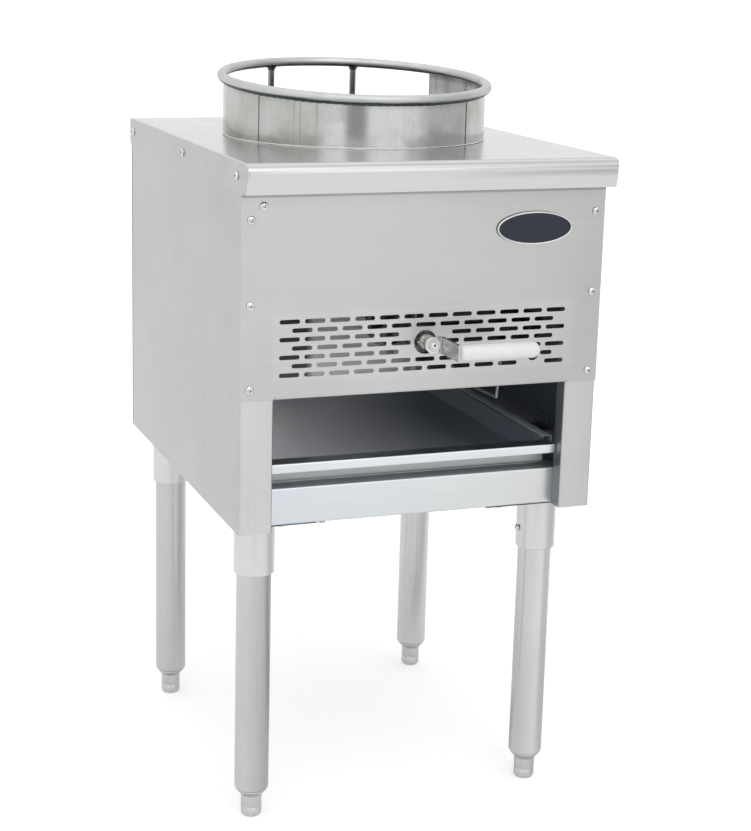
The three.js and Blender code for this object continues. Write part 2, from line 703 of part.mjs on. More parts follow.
// Each socket's set screw faces the next leg, a quarter turn on from its neighbour's.
const legs = [
  { word: 'front_left', side: -1, end: 'front', facing: V(0, 1, 0) },
  { word: 'front_right', side: 1, end: 'front', facing: V(-1, 0, 0) },
  { word: 'rear_right', side: 1, end: 'rear', facing: V(0, -1, 0) },
  { word: 'rear_left', side: -1, end: 'rear', facing: V(1, 0, 0) },
];
const socketInside = LEG_RADIUS + SOCKET_CLEARANCE;
const socketOutside = LEG_RADIUS + SOCKET_WALL + SOCKET_CLEARANCE;
const plateBottom = plateTop - SOCKET_PLATE_THICKNESS;

function socket(centre, facing) {
  const sleeve = turned([
    [socketInside, socketBottom], [socketOutside - 1, socketBottom], [socketOutside, socketBottom + 1],
    [socketOutside, plateTop - SHEET], [socketInside, plateTop - SHEET],
  ], centre);
  const plate = prismZ(rectangle(centre.x - SOCKET_PLATE, centre.x + SOCKET_PLATE,
    centre.y - SOCKET_PLATE, centre.y + SOCKET_PLATE, BEND), plateBottom, plateTop);
  const at = V(centre.x, centre.y, setScrewHeight);
  const hole = rod(SET_SCREW_RADIUS + HOLE_CLEARANCE, at, at.clone().addScaledVector(facing, 2 * LEG_RADIUS));
  return cut(join(sleeve, plate), hole);
}

function legTube(centre) {
  const bore = FOOT_STUD + HOLE_CLEARANCE;
  const inside = LEG_RADIUS - LEG_WALL;
  const bottom = FOOT_HEIGHT + SEAM;
  return turned([
    [bore, bottom], [LEG_RADIUS - 2, bottom], [LEG_RADIUS, bottom + 2],
    [LEG_RADIUS, plateBottom - SHEET], [inside, plateBottom - SHEET],
    [inside, bottom + INSERT_DEPTH], [bore, bottom + INSERT_DEPTH],
  ], centre);
}

function foot(centre) {
  const inner = FOOT_RADIUS - FOOT_EDGE;
  const edge = [0, 30, 60, 90].map((degrees) => {
    const turn = THREE.MathUtils.degToRad(degrees);
    return [inner + FOOT_EDGE * Math.sin(turn), FOOT_EDGE * (1 - Math.cos(turn))];
  });
  return turned([
    [0, 0], ...edge, [FOOT_RADIUS, FOOT_NECK], [FOOT_SHOULDER, FOOT_HEIGHT - 1],
    [FOOT_SHOULDER, FOOT_HEIGHT], [FOOT_STUD, FOOT_HEIGHT],
    [FOOT_STUD, FOOT_HEIGHT + STUD_LENGTH], [0, FOOT_HEIGHT + STUD_LENGTH],
  ], centre, FOOT_SIDES);
}

for (const { word, side, end, facing } of legs) {
  const centre = V(side * legAcross, legBacks[end], 0);
  add(`leg_socket_${word}`, socket(centre, facing), bright);
  add(`leg_tube_${word}`, legTube(centre), zinc);
  add(`foot_${word}`, foot(centre), zinc);
}

// ---------------------------------------------------------------- drip tray and runners

function dripTray() {
  const back = BODY_DEPTH - TRAY_REAR;
  const body = (t, top) => prismZ(rectangle(-trayHalf + t, trayHalf - t, TRAY_FRONT + t,
    back - t, TRAY_CORNER - t), trayBottom + t, top);
  const overRearWall = box([-trayHalf, trayHalf], [back - TRAY_CORNER, back + SHEET],
    [trayBottom + TRAY_REAR_WALL, trayTop + SHEET]);
  const top = box([-lipHalf, lipHalf], [LIP_FRONT, TRAY_FRONT + SHEET / 2], [trayTop - SHEET, trayTop]);
  const face = prismY(outline([
    [trayTop - LIP_HEIGHT, -lipHalf, LIP_ROUND], [trayTop, -lipHalf],
    [trayTop, lipHalf], [trayTop - LIP_HEIGHT, lipHalf, LIP_ROUND],
  ]), LIP_FRONT, LIP_FRONT + SHEET);
  const hem = box([-lipHalf + LIP_ROUND, lipHalf - LIP_ROUND], [LIP_FRONT + SHEET / 2, LIP_FRONT + LIP_HEM],
    [trayTop - LIP_HEIGHT, trayTop - LIP_HEIGHT + SHEET]);
  return join(cut(body(0, trayTop), body(SHEET, trayTop + SHEET), overRearWall), top, face, hem);
}

function trayRunner(side) {
  const x = (out) => side * (runnerWeb + out);
  const skirtBottom = trayTop - RUNNER_SKIRT;
  const section = outline([
    [ledgeTop - SHEET, x(-RUNNER_LEDGE)], [ledgeTop - SHEET, x(SHEET)],
    [trayTop - SHEET, x(SHEET)], [trayTop - SHEET, x(RUNNER_TOP - SHEET)],
    [skirtBottom, x(RUNNER_TOP - SHEET)], [skirtBottom, x(RUNNER_TOP)],
    [trayTop, x(RUNNER_TOP)], [trayTop, x(0)],
    [ledgeTop, x(0)], [ledgeTop, x(-RUNNER_LEDGE)],
  ]);
  const channel = prismY(section, RUNNER_FRONT, runnerBack);
  const wall = side * (insideHalf - SEAM);
  const tabs = [RUNNER_FRONT + RUNNER_TAB_INSET, runnerBack - RUNNER_TAB_INSET - RUNNER_TAB]
    .flatMap((y) => [
      box([x(RUNNER_TOP - SHEET / 2), wall], [y, y + RUNNER_TAB], [skirtBottom, skirtBottom + SHEET]),
      box([wall - side * SHEET, wall], [y, y + RUNNER_TAB], [skirtBottom, skirtBottom + RUNNER_EAR]),
    ]);
  return join(channel, ...tabs);
}

add('drip_tray', dripTray(), bright);
add('tray_runner_left', trayRunner(-1), zinc);
add('tray_runner_right', trayRunner(1), zinc);

// ---------------------------------------------------------------- wok ring

function ringWall() {
  const middle = Math.PI / 2 + THREE.MathUtils.degToRad(OPENING_TURN);
  const gap = THREE.MathUtils.degToRad(OPENING_HALF);
  const outside = RIM_RADIUS - WALL_INSET;
  const band = new THREE.Shape();
  band.absarc(0, RING_BACK, outside, middle + gap, middle + 2 * Math.PI - gap, false);
  band.absarc(0, RING_BACK, outside - RING_WALL, middle + 2 * Math.PI - gap, middle + gap, true);
  const steps = RING_STEPS * (1 - OPENING_HALF / 180);
  const tall = prismZ(band, coverHeight + SEAM, rimHeight + RIM_RADIUS, steps);
  const above = new THREE.BoxGeometry(4 * RIM_RADIUS, 4 * RIM_RADIUS, 4 * RIM_RADIUS);
  // the tilted rim is narrower in plan, from front to rear, by this much at each end
  const lean = RIM_RADIUS * (1 - Math.cos(THREE.MathUtils.degToRad(RIM_TILT)));
  const barBottom = RIM_BAR - (WALL_INSET - lean) * Math.tan(Math.PI / RIM_SIDES);
  above.translate(0, 0, 2 * RIM_RADIUS - barBottom - SEAM);
  above.rotateX(THREE.MathUtils.degToRad(RIM_TILT));
  above.translate(0, RING_BACK, rimHeight);
  return cut(tall, solid(above));
}

function ringRim() {
  const geometry = new THREE.TorusGeometry(RIM_RADIUS, RIM_BAR, RIM_SIDES, RING_STEPS);
  geometry.rotateX(THREE.MathUtils.degToRad(RIM_TILT));
  geometry.translate(0, RING_BACK, rimHeight);
  return solid(geometry);
}

function ringPost(side) {
  const turn = THREE.MathUtils.degToRad(side * POST_TURN - OPENING_TURN);
  const x = RIM_RADIUS * Math.sin(turn);
  const out = RIM_RADIUS * Math.cos(turn);
  const top = rimHeight + rimSlope * (out - POST_RADIUS) - RIM_BAR - SEAM;
  return rod(POST_RADIUS, V(x, RING_BACK + out, coverHeight + SEAM), V(x, RING_BACK + out, top));
}

add('ring_wall', ringWall(), ringSteel);
add('ring_rim', ringRim(), ringSteel);
add('ring_post_left', ringPost(-1), ringSteel);
add('ring_post_right', ringPost(1), ringSteel);

// ---------------------------------------------------------------- burner

function burnerChamber() {
  const out = CHAMBER_RADIUS + CHAMBER_SHEET;
  const bottom = bracketTop + CHAMBER_CLEARANCE;
  const coneTop = bottom + CHAMBER_CONE;
  return turned([
    [CHAMBER_RADIUS, bodyTop], [out + CHAMBER_FLANGE, bodyTop],
    [out + CHAMBER_FLANGE, bodyTop - CHAMBER_SHEET], [out, bodyTop - CHAMBER_SHEET],
    [out, coneTop], [CHAMBER_THROAT + CHAMBER_SHEET, bottom],
    [CHAMBER_THROAT, bottom], [CHAMBER_RADIUS, coneTop],
  ], V(0, RING_BACK, 0), WIDE_ROUND);
}

function burnerBracket() {
  const half = insideHalf - SEAM;
  const y = [RING_BACK - BRACKET_HALF_WIDTH, RING_BACK + BRACKET_HALF_WIDTH];
  const top = bracketTop;
  const plate = box([-half, half], y, [bracketBottom, top]);
  const ears = [-1, 1].map((side) =>
    box([side * half, side * (half - BRACKET_SHEET)], y, [top - BRACKET_EAR, top]));
  const hole = rod(BURNER_NECK + NECK_CLEARANCE, V(0, RING_BACK, bracketBottom - SHEET),
    V(0, RING_BACK, top + SHEET), ROUND);
  return cut(join(plate, ...ears), hole);
}

function burnerHead() {
  const rise = (share) => burnerSeat + share * BURNER_HEIGHT;
  const r = (share) => share * BURNER_RADIUS;
  return turned([
    [0, neckBottom], [BURNER_NECK, neckBottom], [BURNER_NECK, burnerSeat], [r(0.56), burnerSeat],
    [r(0.9), rise(0.36)], [r(1), rise(0.5)], [r(1), rise(0.82)], [r(0.94), rise(0.92)],
    [r(0.72), rise(0.92)], [r(0.68), rise(0.74)], [r(0.6), rise(0.74)], [r(0.56), rise(0.96)],
    [r(0.4), rise(0.96)], [r(0.36), rise(0.78)], [r(0.28), rise(0.78)], [r(0.24), rise(1)], [0, rise(1)],
  ], V(0, RING_BACK, 0));
}

// Air ports cut through a disc that faces along y.
function airPorts(y0, y1, turn = 0) {
  const ports = [];
  for (let i = 0; i < PORT_COUNT; i += 1) {
    const middle = (i * 2 * Math.PI) / PORT_COUNT + turn;
    const half = THREE.MathUtils.degToRad(PORT_ANGLE / 2);
    const port = new THREE.Shape();
    port.absarc(valveHeight, 0, PORT_OUTER, middle - half, middle + half, false);
    port.absarc(valveHeight, 0, PORT_INNER, middle + half, middle - half, true);
    ports.push(prism(port, AXES.y, y0, y1 - y0, 6));
  }
  return ports;
}

function mixingTube() {
  const collarTop = neckBottom - SEAM;
  const path = (from, to) => bentPath(
    [V(0, from, valveHeight), V(0, RING_BACK, valveHeight), V(0, RING_BACK, to)], TUBE_BEND);
  const coneBack = mouthFront + MOUTH_CONE;
  const mouth = (t, over) => turnedAlongY([
    [0, mouthFront + over], [MOUTH_RADIUS - t, mouthFront + over],
    [TUBE_RADIUS - t, coneBack], [0, coneBack],
  ], V(0, 0, valveHeight), ROUND);
  const outer = join(mouth(0, 0), bar(TUBE_RADIUS, path(coneBack - 1, collarTop), PIPE_SIDES));
  const collarBottom = V(0, RING_BACK, collarTop - COLLAR_LENGTH);
  const collar = rod(COLLAR_RADIUS, collarBottom, V(0, RING_BACK, collarTop), ROUND);
  const inner = join(mouth(TUBE_WALL, MOUTH_PLATE),
    bar(TUBE_RADIUS - TUBE_WALL, path(coneBack - 2, collarTop + 1), PIPE_SIDES));
  const plateHole = rod(SHUTTER_BORE, V(0, mouthFront - 1, valveHeight),
    V(0, mouthFront + MOUTH_PLATE + 1, valveHeight));
  return cut(join(outer, collar), inner, plateHole,
    ...airPorts(mouthFront - 1, mouthFront + MOUTH_PLATE + 1));
}

function airShutter() {
  const back = mouthFront - SEAM;
  const front = back - SHUTTER_THICKNESS;
  const disc = rod(MOUTH_RADIUS, V(0, front, valveHeight), V(0, back, valveHeight), ROUND);
  const half = SHUTTER_TAB_WIDTH / 2;
  const tab = box([-half, half], [front, back],
    [valveHeight - MOUTH_RADIUS - SHUTTER_TAB, valveHeight - MOUTH_RADIUS + 2]);
  const bore = rod(SHUTTER_BORE, V(0, front - 1, valveHeight), V(0, back + 1, valveHeight));
  return cut(join(disc, tab), bore, ...airPorts(front - 1, back + 1));
}

function orificeHood() {
  const start = valveOutlet + SEAM;
  const end = start + HOOD_LENGTH;
  const barrel = turnedAlongY([
    [HOOD_BORE, start], [HOOD_RADIUS, start], [HOOD_RADIUS, end - 5], [HOOD_RADIUS * 0.6, end],
    [HOOD_BORE, end],
  ], V(0, 0, valveHeight), SMALL_ROUND);
  const hex = turnedAlongY([
    [HOOD_BORE, start], [HOOD_HEX, start], [HOOD_HEX, start + HOOD_HEX_LENGTH],
    [HOOD_BORE, start + HOOD_HEX_LENGTH],
  ], V(0, 0, valveHeight), 6);
  return join(barrel, hex);
}

add('burner_chamber', burnerChamber(), dark);
add('burner_bracket', burnerBracket(), dark);
add('burner_head', burnerHead(), iron);
add('mixing_tube', mixingTube(), iron);
add('air_shutter', airShutter(), zinc);
add('orifice_hood', orificeHood(), brass);

// ---------------------------------------------------------------- gas valve and lever

function gasValve() {
  const at = (y) => V(0, y, valveHeight);
  const bodyBack = VALVE_BODY_FRONT + VALVE_BODY_LENGTH;
  const barrel = rod(VALVE_BODY_RADIUS, at(VALVE_BODY_FRONT), at(bodyBack), ROUND);
  const bonnetFront = hubBack + BONNET_CLEARANCE;
  const bonnetNut = rod(BONNET_NUT, at(VALVE_BODY_FRONT - BONNET_NUT_LENGTH), at(VALVE_BODY_FRONT + 1), 6);
  const bonnet = rod(BONNET_RADIUS, at(bonnetFront), at(VALVE_BODY_FRONT), ROUND);
  const inlet = rod(VALVE_SIDE_RADIUS, V(0, CROSS_PIPE_BACK, valveHeight),
    V(VALVE_SIDE_REACH, CROSS_PIPE_BACK, valveHeight), ROUND);
  const outlet = rod(VALVE_OUTLET_RADIUS, at(bodyBack - 1), at(valveOutlet));
  const stemEnd = HUB_FRONT + LEVER_THICKNESS + SEAM + STEM_LENGTH;
  const bore = rod(STEM_RADIUS + STEM_CLEARANCE, at(bonnetFront - 1), at(stemEnd + SEAM));
  return cut(join(barrel, bonnetNut, bonnet, inlet, outlet), bore);
}

function valveLever() {
  const half = LEVER_HEIGHT / 2;
  const z = [valveHeight - half, valveHeight + half];
  const armLeft = LEVER_BEND - LEVER_THICKNESS;
  const hub = new THREE.Shape();
  hub.absarc(valveHeight, 0, HUB_RADIUS, Math.PI, 2 * Math.PI);
  hub.lineTo(z[1], HUB_RADIUS * 0.5);
  hub.lineTo(z[1], LEVER_BEND);
  hub.lineTo(z[0], LEVER_BEND);
  hub.lineTo(z[0], HUB_RADIUS * 0.5);
  const plate = prism(hub, AXES.y, HUB_FRONT, LEVER_THICKNESS);
  const tangFront = GRIP_FRONT - LEVER_THICKNESS / 2;
  const arm = box([armLeft, LEVER_BEND], [tangFront, hubBack], z);
  const tang = box([armLeft, armLeft + LEVER_TANG], [tangFront, tangFront + LEVER_THICKNESS],
    [valveHeight - TANG_HEIGHT / 2, valveHeight + TANG_HEIGHT / 2]);
  const hole = rod(LEVER_SCREW_HEAD * 0.5, V(0, HUB_FRONT - 1, valveHeight), V(0, hubBack + 1, valveHeight));
  return cut(join(plate, arm, tang), hole);
}

function leverGrip() {
  const profile = [
    [0, gripStart], [GRIP_RADIUS - 2, gripStart], [GRIP_RADIUS - 0.6, gripStart + 0.6],
    [GRIP_RADIUS, gripStart + 2],
  ];
  const round = GRIP_RADIUS - 1;
  for (let i = 0; i <= 5; i += 1) {
    const turn = (i * Math.PI) / 10;
    profile.push([1 + round * Math.cos(turn), gripEnd - round + round * Math.sin(turn)]);
  }
  profile.push([0, gripEnd]);
  const points = profile.map(([radius, along]) => new THREE.Vector2(radius, along));
  const geometry = new THREE.LatheGeometry(points, ROUND);
  geometry.rotateZ(-Math.PI / 2);
  geometry.translate(0, GRIP_FRONT, valveHeight);
  const tangHalf = TANG_HEIGHT / 2 + SEAM;
  const slot = box([gripStart - 1, LEVER_BEND - LEVER_THICKNESS + LEVER_TANG + SEAM],
    [GRIP_FRONT - LEVER_THICKNESS / 2 - SEAM, GRIP_FRONT + LEVER_THICKNESS / 2 + SEAM],
    [valveHeight - tangHalf, valveHeight + tangHalf]);
  return cut(faceOut(geometry), slot);
}

function valveStem() {
  const front = hubBack + SEAM;
  return rod(STEM_RADIUS, V(0, front, valveHeight), V(0, front + STEM_LENGTH - SEAM, valveHeight));
}

add('gas_valve', gasValve(), brass);
add('valve_stem', valveStem(), zinc);
add('valve_lever', valveLever(), zinc);
add('lever_grip', leverGrip(), whiteGrip);
add('lever_screw', panScrew(V(0, HUB_FRONT, valveHeight), V(0, 1, 0), LEVER_SCREW_HEAD, LEVER_SCREW_DOME,
  LEVER_SCREW_HEAD * 0.5 - SEAM, LEVER_THICKNESS), bright);

// ---------------------------------------------------------------- gas pipes

function crossPipe() {
  return rod(CROSS_PIPE_RADIUS, V(VALVE_SIDE_REACH + SEAM, CROSS_PIPE_BACK, valveHeight),
    V(supplyAcross - ELBOW_BEND - SEAM, CROSS_PIPE_BACK, valveHeight), ROUND);
}

function pipeElbow() {
  const corner = V(supplyAcross, CROSS_PIPE_BACK, valveHeight);
  const start = V(supplyAcross - ELBOW_BEND, CROSS_PIPE_BACK, valveHeight);
  const end = V(supplyAcross, CROSS_PIPE_BACK + ELBOW_BEND, valveHeight);
  return bar(ELBOW_RADIUS, bentPath([start, corner, end], ELBOW_BEND - 1), PIPE_SIDES);
}

function supplyPipe() {
  const from = V(supplyAcross, supplyFront, valveHeight);
  const to = V(supplyAcross, supplyRear, valveHeight);
  const pipe = rod(SUPPLY_RADIUS, from, to, ROUND);
  const bore = rod(SUPPLY_BORE, V(supplyAcross, supplyFront - 1, valveHeight),
    V(supplyAcross, supplyRear + 1, valveHeight), ROUND);
  return cut(pipe, bore);
}

function pipeBracket() {
  const y = [PIPE_BRACKET_BACK, PIPE_BRACKET_BACK + PIPE_BRACKET_WIDTH];
  const wall = insideHalf - SEAM;
  const at = (depth) => V(supplyAcross, depth, valveHeight);
  const clamp = rod(SUPPLY_RADIUS + SEAM + PIPE_BRACKET_WALL, at(y[0]), at(y[1]), ROUND);
  const arm = box([supplyAcross, wall], y,
    [valveHeight - PIPE_BRACKET_WALL / 2, valveHeight + PIPE_BRACKET_WALL / 2]);
  const ear = box([wall - PIPE_BRACKET_WALL, wall], y,
    [valveHeight - PIPE_BRACKET_EAR / 2, valveHeight + PIPE_BRACKET_EAR / 2]);
  const bore = rod(SUPPLY_RADIUS + SEAM, at(y[0] - 1), at(y[1] + 1), ROUND);
  return cut(join(clamp, arm, ear), bore);
}

add('cross_pipe', crossPipe(), dark);
add('pipe_elbow', pipeElbow(), dark);
add('supply_pipe', supplyPipe(), dark);
add('pipe_bracket', pipeBracket(), zinc);

// ---------------------------------------------------------------- pilot

const pilotAcross = bodyHalf - PILOT_INSET;
const pilotTop = valveHeight - CROSS_PIPE_RADIUS - SEAM;
const pilotStart = pilotTop - PILOT_VALVE_HEIGHT - PILOT_NIPPLE - SEAM;
const pilotLow = pilotStart - PILOT_DROP;
const pilotBurnerSpot = V(PILOT_BURNER_ACROSS, RING_BACK - PILOT_BURNER_FORWARD, burnerSeat);

function pilotValve() {
  const y = [CROSS_PIPE_BACK - PILOT_VALVE, CROSS_PIPE_BACK + PILOT_VALVE];
  const block = box([pilotAcross - PILOT_VALVE, pilotAcross + PILOT_VALVE], y,
    [pilotTop - PILOT_VALVE_HEIGHT, pilotTop]);
  const stub = V(pilotAcross, CROSS_PIPE_BACK, pilotTop - PILOT_VALVE_HEIGHT);
  const nipple = rod(PILOT_TUBE * 2, stub.clone().add(V(0, 0, -PILOT_NIPPLE)), stub.clone().add(V(0, 0, 2)));
  return join(block, nipple);
}

function pilotTube() {
  const end = pilotBurnerSpot;
  return bar(PILOT_TUBE, bentPath([
    V(pilotAcross, CROSS_PIPE_BACK, pilotStart),
    V(pilotAcross, CROSS_PIPE_BACK, pilotLow),
    V(pilotAcross, PILOT_RUN, pilotLow),
    V(end.x, end.y, end.z - PILOT_RISE),
    V(end.x, end.y, end.z - SEAM),
  ], PILOT_BEND), PILOT_SIDES);
}

function pilotBurner() {
  const top = pilotBurnerSpot.clone().add(V(0, 0, PILOT_BURNER_HEIGHT));
  const barrel = rod(PILOT_BURNER_RADIUS, pilotBurnerSpot, top);
  const strap = box([pilotBurnerSpot.x - PILOT_BURNER_RADIUS, pilotBurnerSpot.x + PILOT_BURNER_RADIUS],
    [pilotBurnerSpot.y, RING_BACK - BRACKET_HALF_WIDTH + 16], [burnerSeat, burnerSeat + SHEET]);
  return join(barrel, strap);
}

add('pilot_valve', pilotValve(), brass);
add('pilot_tube', pilotTube(), zinc);
add('pilot_burner', pilotBurner(), brass);

// The origin is under the middle of the outer box, between the grip and the inlet's end.
range.position.y = -(GRIP_FRONT - GRIP_RADIUS + supplyRear) / 2;

export default range;
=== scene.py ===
from math import atan2, copysign, cos, degrees, inf, pi, radians, sin, tan

import bmesh
import bpy
from mathutils import Matrix, Vector


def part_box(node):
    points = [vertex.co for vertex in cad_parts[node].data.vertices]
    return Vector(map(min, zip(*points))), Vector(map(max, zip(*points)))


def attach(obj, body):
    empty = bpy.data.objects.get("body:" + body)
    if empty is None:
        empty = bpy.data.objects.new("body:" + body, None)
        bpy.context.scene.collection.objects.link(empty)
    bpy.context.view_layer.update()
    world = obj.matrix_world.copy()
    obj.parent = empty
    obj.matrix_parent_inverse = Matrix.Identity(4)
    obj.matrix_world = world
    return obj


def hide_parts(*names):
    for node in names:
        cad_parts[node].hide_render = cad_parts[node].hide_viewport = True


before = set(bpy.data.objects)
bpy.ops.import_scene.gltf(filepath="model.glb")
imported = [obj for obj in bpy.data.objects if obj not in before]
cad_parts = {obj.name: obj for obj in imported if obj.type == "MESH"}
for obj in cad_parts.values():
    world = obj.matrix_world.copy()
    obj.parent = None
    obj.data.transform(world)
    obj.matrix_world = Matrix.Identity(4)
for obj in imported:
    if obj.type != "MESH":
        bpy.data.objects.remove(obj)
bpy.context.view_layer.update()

# Lengths below are millimetres in the cabinet's own frame: x across from the middle, y back from
# the front face of the side panels' flanges, z up from the floor. place() turns them into metres
# in the row frame.
MM = 0.001
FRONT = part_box("side_panel_left")[0].y


def place(x, y, z):
    return Vector((x * MM, FRONT + y * MM, z * MM))


def ends(node):
    """The low and the high corner of a CAD node's box."""
    return [[v / MM for v in corner - Vector((0, FRONT, 0))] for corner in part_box(node)[:2]]


def span(node, axis):
    """Where a CAD node starts and ends along an axis."""
    return [corner["xyz".index(axis)] for corner in ends(node)]


def middle(node):
    return [(a + b) / 2 for a, b in zip(*ends(node))]


# ---- sizes

SHEET = 1.2
SEAM = 0.3
BEND = 2.4
EDGE = 0.22  # ground edge of a sheet
PAST = 5  # how far a cutting body reaches past what it cuts

(_, COVER_FRONT, COVER_BOTTOM), (COVER_HALF, COVER_REAR, COVER_TOP) = ends("top_cover")
NOSE_RADIUS = 12
LIP_SETBACK = 6
COVER_CORNER = 3.5
CHAMBER_RADIUS = 158.5
CHAMBER_FOOT = 105
CHAMBER_CONE = 50

(_, _, BODY_BOTTOM), (BODY_HALF, BODY_DEPTH, BODY_TOP) = ends("side_panel_right")
FLANGE = 41
RETURN = 20.2
REAR_FLANGE = 20
HEM = 10
_, PANEL_FACE, WINDOW_TOP = ends("front_panel")[0]
PANEL_FOLD = 14

RAIL_FOOT = 12
RAIL_SHELF = 26
RAIL_HEM = 1.9  # upturned rear edge of a rail's top flange, under the tray
CORNER_PLATE = 1.4  # thickness of the small plates under the front rail

SLOT_LENGTH = 24.8
SLOT_HEIGHT = 5.2
SLOT_PITCH = 30.6
SLOT_ROWS = 7
SLOTS_IN_ROW = 12
ROW_PITCH = 10.45
TOP_ROW = 639.8
SLOT_MARGIN = 2.2
VALVE_HEIGHT = 609
VALVE_HOLE = 14.3
VALVE_HOLE_HEIGHT = 608
LIGHT_HOLE = 7.5
LIGHT_SPOT = (140.3, 586)

SCREW_HEAD = 5.0
SCREW_DOME = 2.6
SIDE_SCREW_INSET = 11.5
SIDE_SCREW_HEIGHTS = (562, 660, 758)
TOP_SCREW = (26 - BODY_HALF, 773.6)
COVER_SCREWS = (12, 250, 515)
COVER_SCREW_DROP = 17
SMALL_SCREW = {"head": 4.6, "dome": 2.4}
RAIL_SCREWS = (-167, -115, 117)
CORNER_PLATES = (("left", 12 - BODY_HALF, -122), ("right", 98, BODY_HALF - 12))
REAR_SCREW_ACROSS = 217
REAR_SCREW_HEIGHTS = (410, 520, 630, 740)

RING_BACK = 263.5
RIM_RADIUS = 169
RIM_BAR = 6
RIM_HEIGHT = COVER_TOP + 71
RIM_TILT = radians(4.3)
RING_WALL = 2
WALL_RADIUS = RIM_RADIUS - 1.8
OPENING_HALF = 58.6
OPENING_TURN = 1.1

LEG_RADIUS = 21.2
LEG_WALL = 1.5
LEG_BORE = 6.35
LEG_INSERT = 25
SOCKET_INSIDE = 21.55
SOCKET_OUTSIDE = 24.7
SOCKET_BOTTOM, SOCKET_TOP = span("leg_socket_front_left", "z")
SOCKET_PLATE = 27
SET_SCREW_HEIGHT = 345

TRAY_HALF = 182
TRAY_FRONT = 38
TRAY_REAR_WALL = 14
TRAY_BEND = 3.0
_, _, TRAY_BOTTOM = ends("drip_tray")[0]
LIP_HALF, TRAY_BACK, TRAY_TOP = ends("drip_tray")[1]
LIP_FRONT = 15
LIP_HEIGHT = 12
LIP_HEM = 6
RUNNER_GAP = 5
RUNNER_LEDGE = 17
RUNNER_TOP = 13
RUNNER_SKIRT = 11
RUNNER_TAB = 40
TAB_FROM_FRONT = 60
TAB_FROM_BACK = 100

PIPE_DEPTH = 43  # the cross pipe's axis
PIPE_RADIUS = 13.35
PIPE_BORE = 10.5
SUPPLY_HOLE = 13.95
THREAD_TURNS = 10
THREAD_PITCH = 1.8
ELBOW_RADIUS = 14.6
ELBOW_REACH = 22
ELBOW_BEND = 20
ELBOW_BAND = 8
PILOT_TIP = Vector((62, RING_BACK - 62, span("pilot_burner", "z")[0]))
PILOT_LOW = span("pilot_tube", "z")[0] - 6
PILOT_LEAN = 3
PILOT_RUN = 170
PILOT_RADIUS = 1.9
PILOT_BEND = 14

HUB_FRONT = -27
LEVER_THICKNESS = 3
LEVER_HALF = 9.75
HUB_RADIUS = 9.3
LEVER_BEND = 13
GRIP_FRONT = -75
GRIP_RADIUS = 9.5
GRIP_START = 13.3
GRIP_END = 112

BURNER_DEPTH = 48
MIXER_RADIUS = 19
MIXER_CONE = 24
MIXER_BEND = 34
SHUTTER_RADIUS = 32


# ---- mesh building

def turns(count):
    return [2 * pi * k / count for k in range(count)]


def sweep(start, end, steps):
    """Angles from start to end, which are given in degrees."""
    return [radians(start + (end - start) * k / steps) for k in range(steps + 1)]


def round_off(before, here, after, radius):
    """A rounded corner's centre, and the arms from it to both ends of the rounding."""
    back, on = (before - here).normalized(), (after - here).normalized()
    half = back.angle(on) / 2
    centre = here + (back + on).normalized() * radius / sin(half)
    return centre, *(here + arm * radius / tan(half) - centre for arm in (back, on))


def outline(points, steps=6):
    """A closed outline from corner points; a point's third value rounds its corner."""
    loop = []
    flat = [Vector(point[:2]) for point in points]
    for i, point in enumerate(points):
        if len(point) < 3 or point[2] <= 0:
            loop.append(flat[i])
            continue
        centre, first, last = round_off(flat[i - 1], flat[i], flat[(i + 1) % len(flat)], point[2])
        start = atan2(first.y, first.x)
        turn = atan2(last.y, last.x) - start
        turn = (turn + pi) % (2 * pi) - pi
        for k in range(steps + 1):
            angle = start + turn * k / steps
            loop.append(centre + point[2] * Vector((cos(angle), sin(angle))))
    return loop


def rectangle(x0, x1, y0, y1, radius=0, steps=6):
    return outline([(x0, y0, radius), (x1, y0, radius), (x1, y1, radius), (x0, y1, radius)], steps)


def bow(x, y, radius, angles):
    """Points at angles around a centre, from the first axis toward the second."""
    return [(x + radius * cos(t), y + radius * sin(t)) for t in angles]


def circle(x, y, radius, sides=48):
    return bow(x, y, radius, turns(sides))


def spread(pair, axis, along):
    """A point from its place along an axis and its pair on the other two, in the order x, y, z."""
    a, b = pair
    return {"x": (along, a, b), "y": (a, along, b), "z": (a, b, along)}[axis]


def loft(loops, closed=False):
    """Skins a stack of loops that have the same number of points, or one point at a tip."""
    bm = bmesh.new()
    rings = [[bm.verts.new(p) for p in loop] for loop in loops]
    pairs = list(zip(rings, rings[1:]))
    if closed:
        pairs.append((rings[-1], rings[0]))
    for lower, upper in pairs:
        count = max(len(lower), len(upper))
        for i in range(count if count > 1 else 0):
            j = (i + 1) % count
            if len(lower) == 1:
                bm.faces.new((lower[0], upper[j], upper[i]))
            elif len(upper) == 1:
                bm.faces.new((lower[i], lower[j], upper[0]))
            else:
                bm.faces.new((lower[i], lower[j], upper[j], upper[i]))
    if not closed:
        for ring in (rings[0][::-1], rings[-1]):
            if len(ring) > 1:
                bm.faces.new(ring)
    bmesh.ops.recalc_face_normals(bm, faces=bm.faces)
    return bm


def prism(loop, axis, start, end):
    """Pushes an outline along an axis."""
    return loft([[spread(p, axis, along) for p in loop] for along in (start, end)])


def folded(points, axis, start, end, steps=6):
    """A bent sheet from the corner points of its section."""
    return prism(outline(points, steps), axis, start, end)


def u_section(x0, x1, root, tip, t, radius):
    """A strip folded twice: its web at the root, and its legs' ends at the tip."""
    inner = root + copysign(t, tip - root)
    return [(x0, root, radius), (x1, root, radius), (x1, tip), (x1 - t, tip), (x1 - t, inner, 1),
            (x0 + t, inner, 1), (x0 + t, tip), (x0, tip)]


def block(x, y, z, radius=0):
    return prism(rectangle(*x, *y, radius), "z", *z)


